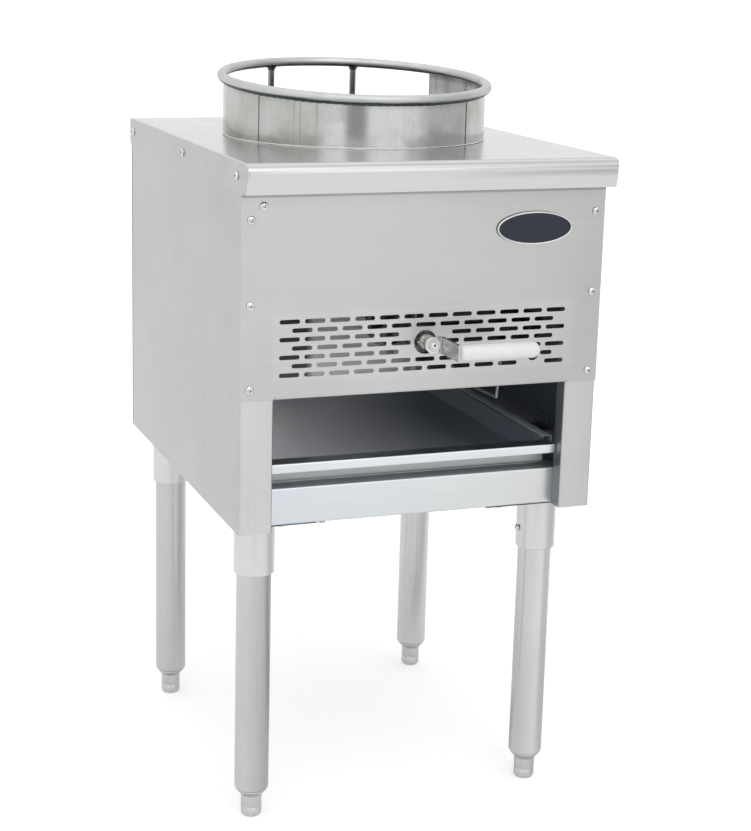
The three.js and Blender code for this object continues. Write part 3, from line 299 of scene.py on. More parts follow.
def lathe(profile, centre, axis="z", sides=64, closed=False):
    """Turns (radius, along) pairs about an axis through a centre."""
    loops = []
    for radius, along in profile:
        loops.append([
            [c + v for c, v in zip(centre, spread((radius * cos(t), radius * sin(t)), axis, along))]
            for t in (turns(sides) if radius else [0])])
    return loft(loops, closed)


def arc(centre_r, centre_a, radius, start, end, steps=6):
    """Points of a rounded edge in a profile, as (radius, along)."""
    return bow(centre_r, centre_a, radius, sweep(start, end, steps))


def bent_path(points, radius, steps=12):
    """A path through points whose corners are rounded."""
    points = [Vector(p) for p in points]
    path = [points[0]]
    for three in zip(points, points[1:], points[2:]):
        centre, first, last = round_off(*three, radius)
        path += [centre + first.slerp(last, k / steps) for k in range(steps + 1)]
    return [*path, points[-1]]


def tube(path, radius, sides=24, closed=False):
    """Sweeps a circle along a path. radius may be a function of the share of the path."""
    path = [Vector(p) for p in path]
    count = len(path)
    loops = []
    side = None
    for i, here in enumerate(path):
        before = path[i - 1] if i or closed else here
        after = path[(i + 1) % count] if i + 1 < count or closed else here
        ahead = (after - before).normalized()
        if side is None:
            side = ahead.orthogonal()
        side = (side - ahead * side.dot(ahead)).normalized()
        up = ahead.cross(side)
        r = radius(i / max(1, count - 1)) if callable(radius) else radius
        loops.append([here + r * (cos(t) * side + sin(t) * up) for t in turns(sides)])
    return loft(loops, closed)


def rippled(bm, x, y, depth, waves, below=inf):
    """Raises and lowers points around an upright axis, as a weld bead is laid."""
    for vert in bm.verts:
        if vert.co.z < below:
            vert.co.z += depth * sin(waves * atan2(vert.co.y - y, vert.co.x - x))
    return bm


def baked(bm, name):
    mesh = bpy.data.meshes.new(name)
    bm.to_mesh(mesh)
    bm.free()
    return mesh


def linked(name, data):
    """A new object in the scene."""
    thing = bpy.data.objects.new(name, data)
    bpy.context.scene.collection.objects.link(thing)
    return thing


def merged(parts):
    whole = bmesh.new()
    for part in parts:
        mesh = baked(part, "part")
        whole.from_mesh(mesh)
        bpy.data.meshes.remove(mesh)
    return whole


def shaped(body, tool, operation="DIFFERENCE"):
    """The exact boolean of two closed meshes, baked."""
    holders = [linked("shape", baked(bm, "shape")) for bm in (body, tool)]
    modifier = holders[0].modifiers.new("shape", "BOOLEAN")
    modifier.operation = operation
    modifier.solver = "EXACT"
    modifier.object = holders[1]
    result = bmesh.new()
    result.from_object(holders[0], bpy.context.evaluated_depsgraph_get())
    for holder in holders:
        mesh = holder.data
        bpy.data.objects.remove(holder)
        bpy.data.meshes.remove(mesh)
    bmesh.ops.remove_doubles(result, verts=result.verts, dist=1e-4)
    return result


def plate(boundary, holes, axis, start, end):
    """A flat sheet with holes, as a filled curve that is given its thickness."""
    curve = bpy.data.curves.new("sheet", "CURVE")
    curve.dimensions = "2D"
    curve.fill_mode = "BOTH"
    for loop in [boundary, *holes]:
        spline = curve.splines.new("POLY")
        spline.points.add(len(loop) - 1)
        for point, (a, b) in zip(spline.points, loop):
            point.co = (a, b, 0, 1)
        spline.use_cyclic_u = True
    holder = linked("sheet", curve)
    graph = bpy.context.evaluated_depsgraph_get()
    filled = bpy.data.meshes.new_from_object(holder.evaluated_get(graph))
    bm = bmesh.new()
    bm.from_mesh(filled)
    bpy.data.meshes.remove(filled)
    bpy.data.objects.remove(holder)
    bpy.data.curves.remove(curve)
    bmesh.ops.remove_doubles(bm, verts=bm.verts, dist=1e-4)
    for vert in bm.verts:
        vert.co = Vector(spread(vert.co.xy, axis, start))
    grown = bmesh.ops.extrude_face_region(bm, geom=bm.faces[:])
    shift = Vector(spread((0, 0), axis, end - start))
    moved = [v for v in grown["geom"] if isinstance(v, bmesh.types.BMVert)]
    bmesh.ops.translate(bm, verts=moved, vec=shift)
    bmesh.ops.recalc_face_normals(bm, faces=bm.faces)
    return bm


RING = "wok_ring"
HANDLE = "valve_handle"
LOOKS = {}  # a look's name: its material, and the slot of a piece that wears it


def piece(name, look, *parts, node=None, body="cabinet", bevel=0, sharp=None, others=()):
    """One object of the model, in place of a CAD node where one is named. sharp is the angle in
    degrees from which an edge is one. others holds (look, test) pairs, for faces that a test picks
    by their middle and normal."""
    whole = merged(parts)
    whole.normal_update()
    for index, (_, test) in enumerate(others):
        for face in whole.faces:
            if test(face.calc_center_median(), face.normal):
                face.material_index = index + 1
    for vert in whole.verts:
        vert.co = place(*vert.co)
    for face in whole.faces:
        face.smooth = True
    mesh = baked(whole, name)
    for worn in (look, *(other for other, _ in others)):
        mesh.materials.append(LOOKS[worn][0])
    thing = linked(name, mesh)
    angle = radians(sharp or (34 if bevel else 40))
    if bevel:
        modifier = thing.modifiers.new("edges", "BEVEL")
        modifier.width = bevel * MM
        modifier.segments = 2
        modifier.limit_method = "ANGLE"
        modifier.angle_limit = angle
        modifier.harden_normals = True
    else:
        mesh.set_sharp_from_angle(angle=angle)
    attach(thing, body)
    if node:
        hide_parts(node)


# ---- materials

def srgb(values):
    """A colour written in 0-255 sRGB, as Blender's linear colour."""
    linear = [v / 255 / 12.92 if v <= 10 else ((v / 255 + 0.055) / 1.055) ** 2.4 for v in values]
    return (*linear, 1)


def grey(value):
    return (value, value, value, 1)


def scaled(colour, share):
    return (*(v * share for v in colour[:3]), 1)


class Nodes:
    """A node tree under construction."""

    def __init__(self, tree):
        self.tree = tree

    def fill(self, socket, value):
        if isinstance(value, bpy.types.NodeSocket):
            self.tree.links.new(value, socket)
        else:
            socket.default_value = value

    def node(self, kind, values=(), **settings):
        made = self.tree.nodes.new("ShaderNode" + kind)
        for key, value in settings.items():
            setattr(made, key, value)
        for socket, value in values:
            self.fill(made.inputs[socket], value)
        return made

    def math(self, operation, *values):
        return self.node("Math", enumerate(values), operation=operation).outputs["Value"]

    def times(self, a, b):
        return self.math("MULTIPLY", a, b)

    def rest(self, value):
        """What is left of 1."""
        return self.math("SUBTRACT", 1, value)

    def vector(self, operation, *values, output="Vector"):
        return self.node("VectorMath", enumerate(values), operation=operation).outputs[output]

    def spread(self, value, low_in, high_in, low_out, high_out, kind="LINEAR"):
        """Turns one range of values into another."""
        made = self.node("MapRange", [("Value", value), ("From Min", low_in), ("From Max", high_in),
                                      ("To Min", low_out), ("To Max", high_out)], interpolation_type=kind)
        return made.outputs["Result"]

    def place(self):
        return self.node("TexCoord").outputs["Object"]


class Paint(Nodes):
    """A material: a Principled shader and the nodes that drive it."""

    def __init__(self, metallic=0.0, **constants):
        self.material = bpy.data.materials.new("paint")
        self.material.use_nodes = True
        super().__init__(self.material.node_tree)
        self.shader = self.tree.nodes["Principled BSDF"]
        for socket, value in {"Metallic": metallic, **constants}.items():
            self.shader.inputs[socket.replace("_", " ")].default_value = value
        self.here = self.place()

    def noise(self, scale, detail=3.0, roughness=0.55, seed=0.0):
        """Noise whose scale, in cells per metre, may differ along each axis."""
        steps = scale if isinstance(scale, tuple) else (scale, scale, scale)
        mapping = self.node("Mapping", [("Vector", self.here), ("Scale", steps),
                                        ("Location", (seed, seed * 1.7, seed * 0.6))])
        return self.node("TexNoise", [("Vector", mapping.outputs["Vector"]), ("Scale", 1.0), ("Detail", detail),
                                      ("Roughness", roughness)]).outputs["Fac"]

    def mix(self, factor, a, b, blend="MIX"):
        made = self.node("Mix", data_type="RGBA", blend_type=blend)
        for socket, value in (("Factor", factor), (6, a), (7, b)):
            self.fill(made.inputs[socket], value)
        return made.outputs[2]

    def tint(self, a, b, value, start, end, share=1.0, blend="MIX"):
        """Goes from a, where a value is at its start, to a share of b at its end."""
        return self.mix(self.spread(value, start, end, 0, share), a, b, blend)

    def bump(self, height, distance, strength=1.0, normal=None):
        values = [("Height", height), ("Distance", distance), ("Strength", strength)]
        return self.node("Bump", values + ([("Normal", normal)] if normal else [])).outputs["Normal"]

    def along(self, axis):
        return self.node("SeparateXYZ", [("Vector", self.here)]).outputs["xyz".index(axis)]

    def patch(self, x0, x1, z0, z1, edge=5):
        """1 inside a box in x and z, given in millimetres, with soft edges."""
        share = None
        for axis, start, end in (("x", x0, x1), ("z", z0, z1)):
            along = self.along(axis)
            for near, far in ((start - edge, start), (end + edge, end)):
                step = self.spread(along, near * MM, far * MM, 0, 1)
                share = self.times(share, step) if share else step
        return share

    def finish(self, colour, roughness, normal=None):
        for socket, value in (("Base Color", colour), ("Roughness", roughness), ("Normal", normal)):
            if value is not None:
                self.fill(self.shader.inputs[socket], value)
        return self.material


def brushed(colour, grain="z", rough=0.38, streak=0.03, cloud=0.03, relief=0.000012, dull=None,
            metallic=1.0, far=None, field=None, grime=None):
    """Brushed stainless sheet: long fine scratches along the grain, faint clouds and rub marks.
    far is (axis, start, end, colour), a tone that is reached along that axis. field is (x0, x1,
    z0, z1), a patch that is a little brighter. grime is a darker strip, given as field is: a
    painted shadow under the cover's lip."""
    paint = Paint(metallic)
    fine = spread((2600, 2600), grain, 12)
    hair = paint.noise(fine, 2.0, 0.6)
    bands = paint.noise(tuple(v / 7 for v in fine), 3.0, 0.6, 4.0)
    clouds = paint.noise(7.0, 3.0, 0.5, 9.0)
    marks = paint.noise(42.0, 5.0, 0.7, 2.0)
    tone = srgb(colour)
    if far:
        axis, start, end, other = far
        tone = paint.tint(tone, srgb(other), paint.along(axis), start * MM, end * MM)
    if field:
        tone = paint.mix(paint.patch(*field), tone, grey(1.05), "MULTIPLY")
    # a painted shadow: a darker strip under the cover's lip
    if grime:
        tone = paint.mix(paint.patch(*grime, edge=0.8), tone, (0.66, 0.67, 0.68, 1), "MULTIPLY")
    cloud_dark = (1 - cloud, 1 - cloud, 1 - cloud * 0.8, 1)
    for source, edge, dark, depth in (
            (hair, 0.3, grey(1 - streak), streak),
            (bands, 0.3, grey(1 - streak * 0.6), streak * 0.6),
            (clouds, 0.35, cloud_dark, cloud)):
        tone = paint.mix(1.0, tone, paint.tint(dark, grey(1 + depth), source, edge, 1 - edge), "MULTIPLY")
    if dull:
        tone = paint.tint(tone, srgb(dull), marks, 0.52, 0.7, 0.5)
    value = paint.math("ADD", paint.spread(hair, 0.3, 0.7, rough - 0.04, rough + 0.04),
                       paint.spread(marks, 0.3, 0.7, -0.025, 0.035))
    return paint.finish(tone, value, paint.bump(clouds, relief * 14, 0.4, paint.bump(hair, relief, 0.8)))


def cast(colour, dark, rough, grain_size=900.0, relief=0.0002, metallic=0.4):
    """Cast or oxidised metal: a granular skin with darker patches."""
    paint = Paint(metallic)
    grains = paint.noise(grain_size, 4.0, 0.65)
    patches = paint.noise(38.0, 5.0, 0.6, 3.0)
    tone = paint.tint(srgb(colour), srgb(dark), patches, 0.35, 0.65)
    tone = paint.tint(tone, srgb(dark), grains, 0.4, 0.75, 0.35)
    value = paint.spread(patches, 0.3, 0.7, rough - 0.08, rough + 0.08)
    return paint.finish(tone, value, paint.bump(grains, relief, 0.6))


def under_bar(paint):
    """How far a point lies above the tilted plane of the rim bar's middle, in metres."""
    slope = tan(RIM_TILT)
    drop = paint.math("SUBTRACT", paint.along("z"), paint.times(paint.along("y"), slope))
    return paint.math("SUBTRACT", drop, RIM_HEIGHT * MM - (FRONT + RING_BACK * MM) * slope)


def stained_ring(light, dark, stain_colour, scorch):
    """Rolled steel of the wok ring: faint runs of heat and water, a stained foot, and painted shade
    toward its left end and over its right part. scorch darkens it under the rim bar: painted shade."""
    light, dark, stain_colour = srgb(light), srgb(dark), srgb(stain_colour)
    paint = Paint(1.0)
    hair = paint.noise((700, 700, 14), 2.0, 0.6)
    runs = paint.noise((26, 26, 5), 3.0, 0.6, 5.0)
    blots = paint.noise(15.0, 4.0, 0.6, 8.0)
    specks = paint.noise(240.0, 3.0, 0.6, 3.0)
    drips = paint.noise((210, 210, 4), 2.0, 0.5, 11.0)
    foot = paint.spread(paint.along("z"), COVER_TOP * MM, (COVER_TOP + 24) * MM, 1, 0)
    leftward = paint.spread(paint.along("x"), 0.02, -0.15, 0.25, 1)
    tone = paint.tint(light, dark, blots, 0.38, 0.62)
    tone = paint.tint(tone, dark, runs, 0.52, 0.72, 0.4)
    tone = paint.tint(tone, dark, hair, 0.4, 0.7, 0.18)
    streak = paint.times(paint.spread(drips, 0.6, 0.68, 0, 0.5),
                        paint.spread(blots, 0.42, 0.56, 0, 1))
    tone = paint.mix(streak, tone, stain_colour)
    tone = paint.tint(tone, dark, specks, 0.55, 0.75, 0.3)
    stain = paint.times(paint.spread(blots, 0.4, 0.6, 0.25, 0.9), foot)
    tone = paint.mix(paint.times(stain, leftward), tone, stain_colour)
    # painted shade: darker toward the left end and over the right part
    for start, end, share in ((-0.105, -0.15, 1.0), (0.05, 0.09, 0.7), (0.12, 0.14, 0.35)):
        tone = paint.tint(tone, (0.84, 0.85, 0.83, 1), paint.along("x"), start, end, share, "MULTIPLY")
    # painted shade under the rim bar
    near = paint.spread(under_bar(paint), -0.013, -0.007, 0, scorch)
    tone = paint.mix(paint.times(near, paint.spread(runs, 0.35, 0.6, 0.5, 1)), tone,
                     (0.06, 0.065, 0.075, 1))
    return paint.finish(tone, paint.spread(blots, 0.3, 0.7, 0.13, 0.2), paint.bump(runs, 0.00012, 0.25))


def bar(colour, rough=0.34, burnt=None):
    """Drawn round bar: faint blots and draw marks. burnt is the tone of the wok ring's bar on
    its underside: painted shade."""
    colour = srgb(colour)
    paint = Paint(1.0)
    fine = paint.noise(700.0, 3.0, 0.6)
    blots = paint.noise(26.0, 4.0, 0.6, 6.0)
    blot, mark, share = (0.88, 0.7, 0.2) if burnt else (0.82, 0.6, 0.25)
    tone = paint.tint(colour, scaled(colour, blot), blots, 0.35, 0.65)
    tone = paint.tint(tone, scaled(colour, mark), fine, 0.45, 0.75, share)
    smooth, dull = rough - 0.06, rough + 0.08
    if burnt:
        # painted shade on the bar's underside, below its middle
        drop = paint.math("ADD", under_bar(paint), paint.spread(blots, 0.3, 0.7, -0.0008, 0.0008))
        tone = paint.tint(tone, srgb(burnt), drop, -0.0012, -0.0034)
        smooth, dull = 0.4, 0.5
    return paint.finish(tone, paint.spread(blots, 0.3, 0.7, smooth, dull), paint.bump(fine, 0.00004, 0.5))


def moulded(colour, rough, spots, sheen_grain=900.0, relief=0.00002, **constants):
    """Moulded plastic or enamel: a fine even texture with slight handling marks."""
    paint = Paint(**constants)
    grain = paint.noise(sheen_grain, 2.0, 0.5)
    marks = paint.noise(60.0, 5.0, 0.7, 7.0)
    tone = paint.tint(srgb(colour), srgb(spots), marks, 0.52, 0.75, 0.6)
    value = paint.math("ADD", paint.spread(marks, 0.3, 0.7, rough - 0.04, rough + 0.06),
                       paint.spread(grain, 0.3, 0.7, -0.02, 0.02))
    return paint.finish(tone, value, paint.bump(grain, relief, 0.5))


def dress(slot, **looks):
    for name, material in looks.items():
        material.name = name
        LOOKS[name] = material, slot


dress("satin_sheet",
      side_steel=brushed((187, 188, 187), far=("z", 640, 400, (191, 193, 193))),
      # front_steel: darker toward the right, painted shade; a little brighter over the slots; the last box is a
      # painted shadow under the cover's lip
      front_steel=brushed((197, 198, 196), "x", far=("x", -60, 227, (188, 188, 186)),
                          field=(-186, 190, 571, 648), grime=(-228, 228, 783.6, 786)),
      # the flanges' front faces: a lighter copy of the side steel, lighter again on the left: painted light
      flange_steel=brushed((207, 207, 205), far=("x", -150, 150, (199, 200, 198))),
      # the returns' inner faces: a darker copy of the side steel: painted shade
      return_steel=brushed((146, 149, 153), rough=0.42),
      inside_steel=brushed((228, 230, 232), "x", rough=0.5, dull=(206, 209, 212), metallic=0.1),
      # the rear panel's inside: dark left of x 33 mm, painted shade, and near-white beyond
      rear_inside_steel=brushed((84, 86, 90), "x", rough=0.5, cloud=0.05, metallic=0.0,
                                far=("x", 33, 46, (243, 243, 242))),
      # the side panels' insides: near-white on the left, painted light, and dark on the right, painted shade
      left_inside_steel=brushed((240, 241, 242), rough=0.5, dull=(222, 224, 226), metallic=0.0),
      right_inside_steel=brushed((84, 90, 98), rough=0.5, dull=(74, 80, 88), metallic=0.6))
dress("bright_sheet",
      # cover_steel: lighter down the front lip than on the top: painted light
      cover_steel=brushed((201, 203, 203), "x", rough=0.2, streak=0.012, cloud=0.015, relief=0.000003,
                          far=("z", 820, 809, (210, 212, 211))),
      rail_steel=brushed((216, 222, 226), "x", rough=0.32, streak=0.02, far=("x", -120, 200, (214, 216, 213))),
      # a darker copy for the rails' faces toward the cabinet's inside and under the tray: painted shade
      ledge_steel=brushed((150, 154, 158), "x", rough=0.45, metallic=0.6),
      tray_steel=brushed((222, 227, 230), "x", rough=0.3, streak=0.02),
      # pan_steel: lighter at the tray's left and darker, bluish, toward its right: painted light and painted
      # shade
      pan_steel=brushed((240, 242, 244), "y", rough=0.42, cloud=0.045, metallic=0.1,
                        far=("x", -150, 130, (122, 130, 142))),
      # a darker copy for the tray's front wall, under its lip: painted shade
      tray_wall_steel=brushed((196, 198, 197), "x", rough=0.4, metallic=0.5))
dress("leg_steel",
      # the front left leg darkens toward its right side and the front right one lightens toward its right side:
      # painted shade and painted light; the rear legs differ in tone
      **{f"leg_steel_{word}": brushed(tone, rough=0.3, streak=0.035, far=far) for word, tone, far in (
          ("front_left", (201, 202, 200), ("x", -202, -168, (173, 173, 170))),
          ("front_right", (203, 204, 202), ("x", 172, 196, (220, 221, 218))),
          ("rear_left", (199, 200, 197), None), ("rear_right", (207, 208, 205), None))})
dress("socket_steel", socket_steel=brushed((214, 216, 215), rough=0.34, streak=0.025))
dress("foot_steel", foot_steel=brushed((202, 203, 201), "x", rough=0.34, streak=0.04))
dress("zinc_steel",
      zinc=cast((128, 131, 134), (92, 95, 98), 0.48, 500.0, 0.00004, metallic=0.85),
      runner_steel=brushed((196, 201, 210), "y", rough=0.5, dull=(164, 170, 180), metallic=0.1))
dress("chamber_steel",
      chamber_steel=cast((206, 206, 204), (170, 168, 165), 0.45, 300.0, 0.0001, metallic=0.3))
dress("ring_steel",
      # ring_inside_steel is a darker copy for the wall's inner faces; the last value of each is painted shade
      # under the rim bar, deeper on the inside
      ring_wall_steel=stained_ring((204, 206, 204), (182, 183, 180), (140, 142, 134), 0.25),
      ring_inside_steel=stained_ring((200, 202, 202), (166, 167, 166), (130, 130, 126), 0.85),
      # the rim bar's underside tone: painted shade
      ring_bar_steel=bar((205, 207, 206), burnt=(78, 82, 88)),
      ring_foot_steel=bar((236, 238, 236), 0.3),
      post_steel=bar((150, 152, 154), 0.25),
      weld_steel=bar((92, 96, 100), 0.4),
      seam_steel=bar((112, 113, 114), 0.35))
dress("screw_steel", screw_steel=bar((232, 234, 233), 0.2), recess_steel=bar((80, 82, 86), 0.45))
dress("lever_steel",
      lever_steel=brushed((206, 207, 206), rough=0.3, streak=0.03),
      # the fold's left-facing faces get a darker copy: painted shade; the strip's top edges are dark
      lever_side_steel=brushed((174, 175, 174), "y", rough=0.25, streak=0.2),
      lever_edge_steel=brushed((62, 63, 66), "y", rough=0.4, streak=0.08),
      hub_steel=bar((242, 243, 241), 0.36))
dress("burner_iron", iron=cast((62, 60, 60), (34, 32, 32), 0.7, 1100.0, 0.0004))
dress("valve_brass", brass=bar((128, 116, 88), 0.38))
dress("valve_body",
      valve_metal=cast((134, 134, 132), (92, 92, 91), 0.42, 700.0, 0.00008, metallic=0.7),
      bonnet_steel=bar((214, 214, 210), 0.28))
dress("black_pipe", black_pipe=cast((46, 46, 48), (28, 28, 30), 0.5, 800.0, 0.0001))
dress("pilot_aluminium", pilot_steel=cast((150, 154, 160), (124, 128, 134), 0.4, 700.0, 0.00003, metallic=0.3))
dress("white_grip", grip_plastic=moulded((230, 231, 230), 0.34, (220, 220, 217), 1500.0))
dress("badge_face",
      badge_enamel=moulded((44, 49, 60), 0.3, (38, 42, 52), relief=0.00001, Specular_IOR_Level=0.25),
      badge_rim=bar((226, 228, 228), 0.25),
      # a grey oval behind the badge, shifted left and up: a painted drop shadow
      pad_rubber=moulded((96, 98, 102), 0.6, (84, 86, 90)))


# ---- camera

LENS = 78.42
SENSOR = 36
AIM = Vector((0.32925, 0.91616, -0.22858))
EYE = (-0.801413, -2.166767, 1.050523)
ROLL = radians(1.29)

camera = linked("camera", bpy.data.cameras.new("camera"))
ahead = AIM.normalized()
level = ahead.cross(Vector((0, 0, 1))).normalized()
upward = level.cross(ahead)
right = cos(ROLL) * level + sin(ROLL) * upward
upward = cos(ROLL) * upward - sin(ROLL) * level
camera.matrix_world = Matrix.Translation(EYE) @ Matrix((right, upward, -ahead)).transposed().to_4x4()
camera.data.lens = LENS
camera.data.sensor_width = SENSOR
camera.data.shift_x = 0.0452
camera.data.shift_y = -0.0439
camera.data.clip_start = 0.05
camera.data.clip_end = 200
bpy.context.scene.camera = camera
bpy.context.scene.view_settings.view_transform = "Standard"


# ---- light and floor

WORLD_DIFFUSE = 0.75
FLOOR_HALF = 60  # metres
FLOOR_TONE = 0.86
FLOOR_GLOW = 0.36  # to the camera, so that the lit floor shows white
MIRROR_GLOW = 0.18  # to reflections, in which the lit floor shows as white too
STAND_AIM = -17.6  # compass directions from the front, in degrees
STAND_DEPTH = 0.62
STAND_NEAR = 1.4  # metres from the ring's middle, where the stand's place on the floor begins
STAND_FAR = 2.4
WING_AIM = 70
WING_DEPTH = 0.34


def toward(nodes, direction, angle, inner, outer):
    """1 within an inner angle of a compass direction, and 0 beyond an outer one."""
    aim = (sin(radians(angle)), -cos(radians(angle)), 0)
    dot = nodes.vector("DOT_PRODUCT", direction, aim, output="Value")
    return nodes.spread(dot, cos(radians(outer)), cos(radians(inner)), 0, 1, "SMOOTHSTEP")


def studio(nodes, offset, over_floor):
    """How bright reflections find the studio in a direction: its right side and the camera's
    stand are darker. On the floor the stand's place begins away from the object."""
    flat = nodes.vector("MULTIPLY", offset, (1, 1, 0))
    direction = nodes.vector("NORMALIZE", flat)
    stand = toward(nodes, direction, STAND_AIM, 6, 11)
    if over_floor:
        away = nodes.vector("LENGTH", flat, output="Value")
        stand = nodes.times(stand, nodes.spread(away, STAND_NEAR, STAND_FAR, 0, 1, "SMOOTHSTEP"))
    stand = nodes.times(stand, STAND_DEPTH)
    wing = nodes.times(toward(nodes, direction, WING_AIM, 12, 34), WING_DEPTH)
    return nodes.times(nodes.rest(stand), nodes.rest(wing))


def ray_kinds(nodes):
    """Whether the camera sees a ray, straight or through a sheet, and whether it is a reflection."""
    path = nodes.node("LightPath").outputs
    return nodes.math("MAXIMUM", path["Is Camera Ray"], path["Is Transmission Ray"]), path["Is Glossy Ray"]


def light_world():
    """White to the camera, a little less for diffuse light, and the studio in reflections."""
    world = bpy.data.worlds.new("studio")
    bpy.context.scene.world = world
    world.use_nodes = True
    nodes = Nodes(world.node_tree)
    background = nodes.tree.nodes["Background"]
    background.inputs["Color"].default_value = (1, 1, 1, 1)
    seen, reflected = ray_kinds(nodes)
    glossy = nodes.times(reflected, studio(nodes, nodes.node("TexCoord").outputs["Generated"], False))
    other = nodes.rest(nodes.math("MAXIMUM", seen, reflected))
    strength = nodes.math("ADD", nodes.math("ADD", seen, glossy), nodes.times(other, WORLD_DIFFUSE))
    nodes.fill(background.inputs["Strength"], strength)


def lamp(name, kind, strength, aim, **settings):
    data = bpy.data.lights.new(name, kind)
    data.energy = strength
    for key, value in settings.items():
        setattr(data, key, value)
    thing = linked(name, data)
    thing.rotation_mode = "QUATERNION"
    thing.rotation_quaternion = Vector(aim).to_track_quat("-Z", "Y")
    return thing


def lay_floor():
    corners = [(x * FLOOR_HALF, y * FLOOR_HALF, 0) for x, y in ((-1, -1), (1, -1), (1, 1), (-1, 1))]
    bm = bmesh.new()
    bm.faces.new([bm.verts.new(corner) for corner in corners])
    mesh = baked(bm, "floor")
    paper = Paint(Roughness=0.9, Specular_IOR_Level=0, Emission_Color=(1, 1, 1, 1))
    paper.material.name = "paper"
    seen, reflected = ray_kinds(paper)
    shade = studio(paper, paper.vector("SUBTRACT", paper.here, place(0, RING_BACK, 0)), True)
    # the studio's darker parts, which only reflections show: 1 for every other ray
    shade = paper.rest(paper.times(reflected, paper.rest(shade)))
    mirrored = paper.times(reflected, paper.times(shade, MIRROR_GLOW))
    glow = paper.math("ADD", paper.times(seen, FLOOR_GLOW), mirrored)
    paper.fill(paper.shader.inputs["Base Color"], paper.times(shade, FLOOR_TONE))
    paper.fill(paper.shader.inputs["Emission Strength"], glow)
    mesh.materials.append(paper.material)
    linked("floor", mesh)


light_world()
lamp("key", "SUN", 0.3, (0.1, 0.6, -0.8), angle=radians(50))
lamp("top", "SUN", 0.35, (0.0, 0.1, -1), angle=radians(90))
lamp("front", "SUN", 0.5, (0.2, 0.93, -0.3), angle=radians(76))
# a weak soft strip that lights the tray from the cabinet's left
strip = lamp("inside", "AREA", 0.1, (1, 0, -0.62), shape="RECTANGLE", size=0.4, size_y=0.03)
strip.location = place(-178, 325, 532)
strip.visible_camera = False
lay_floor()


# ---- screws

CORNERS = ((-1, -1), (1, -1), (1, 1), (-1, 1))


def phillips(head, dome):
    """A pan head with a cross recess. Its seat is at the origin and it rises along -y."""
    profile = [(0, -dome)]
    for share in (0.2, 0.4, 0.6, 0.75, 0.88, 0.96, 1.0):
        turn = share * pi / 2
        profile.append((head * sin(turn) ** 0.9, -0.5 - (dome - 0.5) * cos(turn) ** 0.8))
    body = lathe([*profile, (head, 0), (0, 0)], (0, 0, 0), "y", 40)
    arm, width = head * 0.52, head * 0.11
    for half_x, half_z in ((arm, width), (width, arm)):
        outer = [(x * half_x, -dome - 0.2, z * half_z) for x, z in CORNERS]
        floor_x, floor_z = min(half_x, width * 1.6), min(half_z, width * 1.6)
        inner = [(x * floor_x, -dome * 0.35, z * floor_z) for x, z in CORNERS]
        body = shaped(body, loft([outer, inner]))
    return body


def in_recess(seat, outward, reach):
    """Picks the faces of the cross recess, which lie near the axis and below the dome."""
    def test(centre, normal):
        offset = centre - Vector(seat)
        height = offset.dot(outward)
        away = (offset - outward * height).length
        return away < reach and height > 0.5 and abs(normal.dot(outward)) < 0.75
    return test


def screw(name, seat, outward, node=None, head=SCREW_HEAD, dome=SCREW_DOME, turn=0.0, body="cabinet"):
    outward = Vector(outward)
    bm = phillips(head, dome)
    facing = Vector((0, -1, 0)).rotation_difference(outward).to_matrix().to_4x4()
    for matrix in (Matrix.Rotation(turn, 4, "Y"), Matrix.Translation(seat) @ facing):
        bmesh.ops.transform(bm, matrix=matrix, verts=bm.verts)
    piece(name, "screw_steel", bm, node=node, body=body,
          others=[("recess_steel", in_recess(seat, outward, head * 0.56))])


def shown_screws():
    inset = BODY_HALF - SIDE_SCREW_INSET
    spots = [(side * inset, z) for z in SIDE_SCREW_HEIGHTS for side in (-1, 1)] + [TOP_SCREW]
    for i, (x, z) in enumerate(spots):
        screw(f"pan_screw_front_{i + 1}", (x, PANEL_FACE - SEAM, z), (0, -1, 0), f"front_screw_{i + 1}",
              turn=0.35 + i * 0.83)
    for side, word in ((-1, "left"), (1, "right")):
        for i, y in enumerate(COVER_SCREWS):
            seat = (side * (COVER_HALF + SEAM), y, COVER_TOP - COVER_SCREW_DROP)
            screw(f"pan_screw_cover_{word}_{i + 1}", seat, (side, 0, 0), f"cover_screw_{word}_{i + 1}",
                  turn=0.2 + i * 0.7)


def hidden_screws():
    """Screws that no CAD node stands for: under the front rail and around the rear panel."""
    bottom = span("front_rail", "z")[0] - CORNER_PLATE
    y = span("front_rail", "y")[0] + 7
    for word, start, end in CORNER_PLATES:
        ear = rectangle(start, end, y - 5.5, y + 6, 2.5, 5)
        piece(f"corner_plate_{word}", "zinc", prism(ear, "z", bottom, bottom + CORNER_PLATE), bevel=0.15)
    for i, x in enumerate(RAIL_SCREWS):
        screw(f"rail_screw_{i + 1}", (x, y, bottom), (0, 0, -1), turn=0.4 * i, **SMALL_SCREW)
    rear = span("rear_panel", "y")[1]
    for i, (side, z) in enumerate((side, z) for side in (-1, 1) for z in REAR_SCREW_HEIGHTS):
        screw(f"rear_screw_{i + 1}", (side * REAR_SCREW_ACROSS, rear, z), (0, 1, 0), turn=0.5 * i, **SMALL_SCREW)


shown_screws()
hidden_screws()


# ---- cabinet

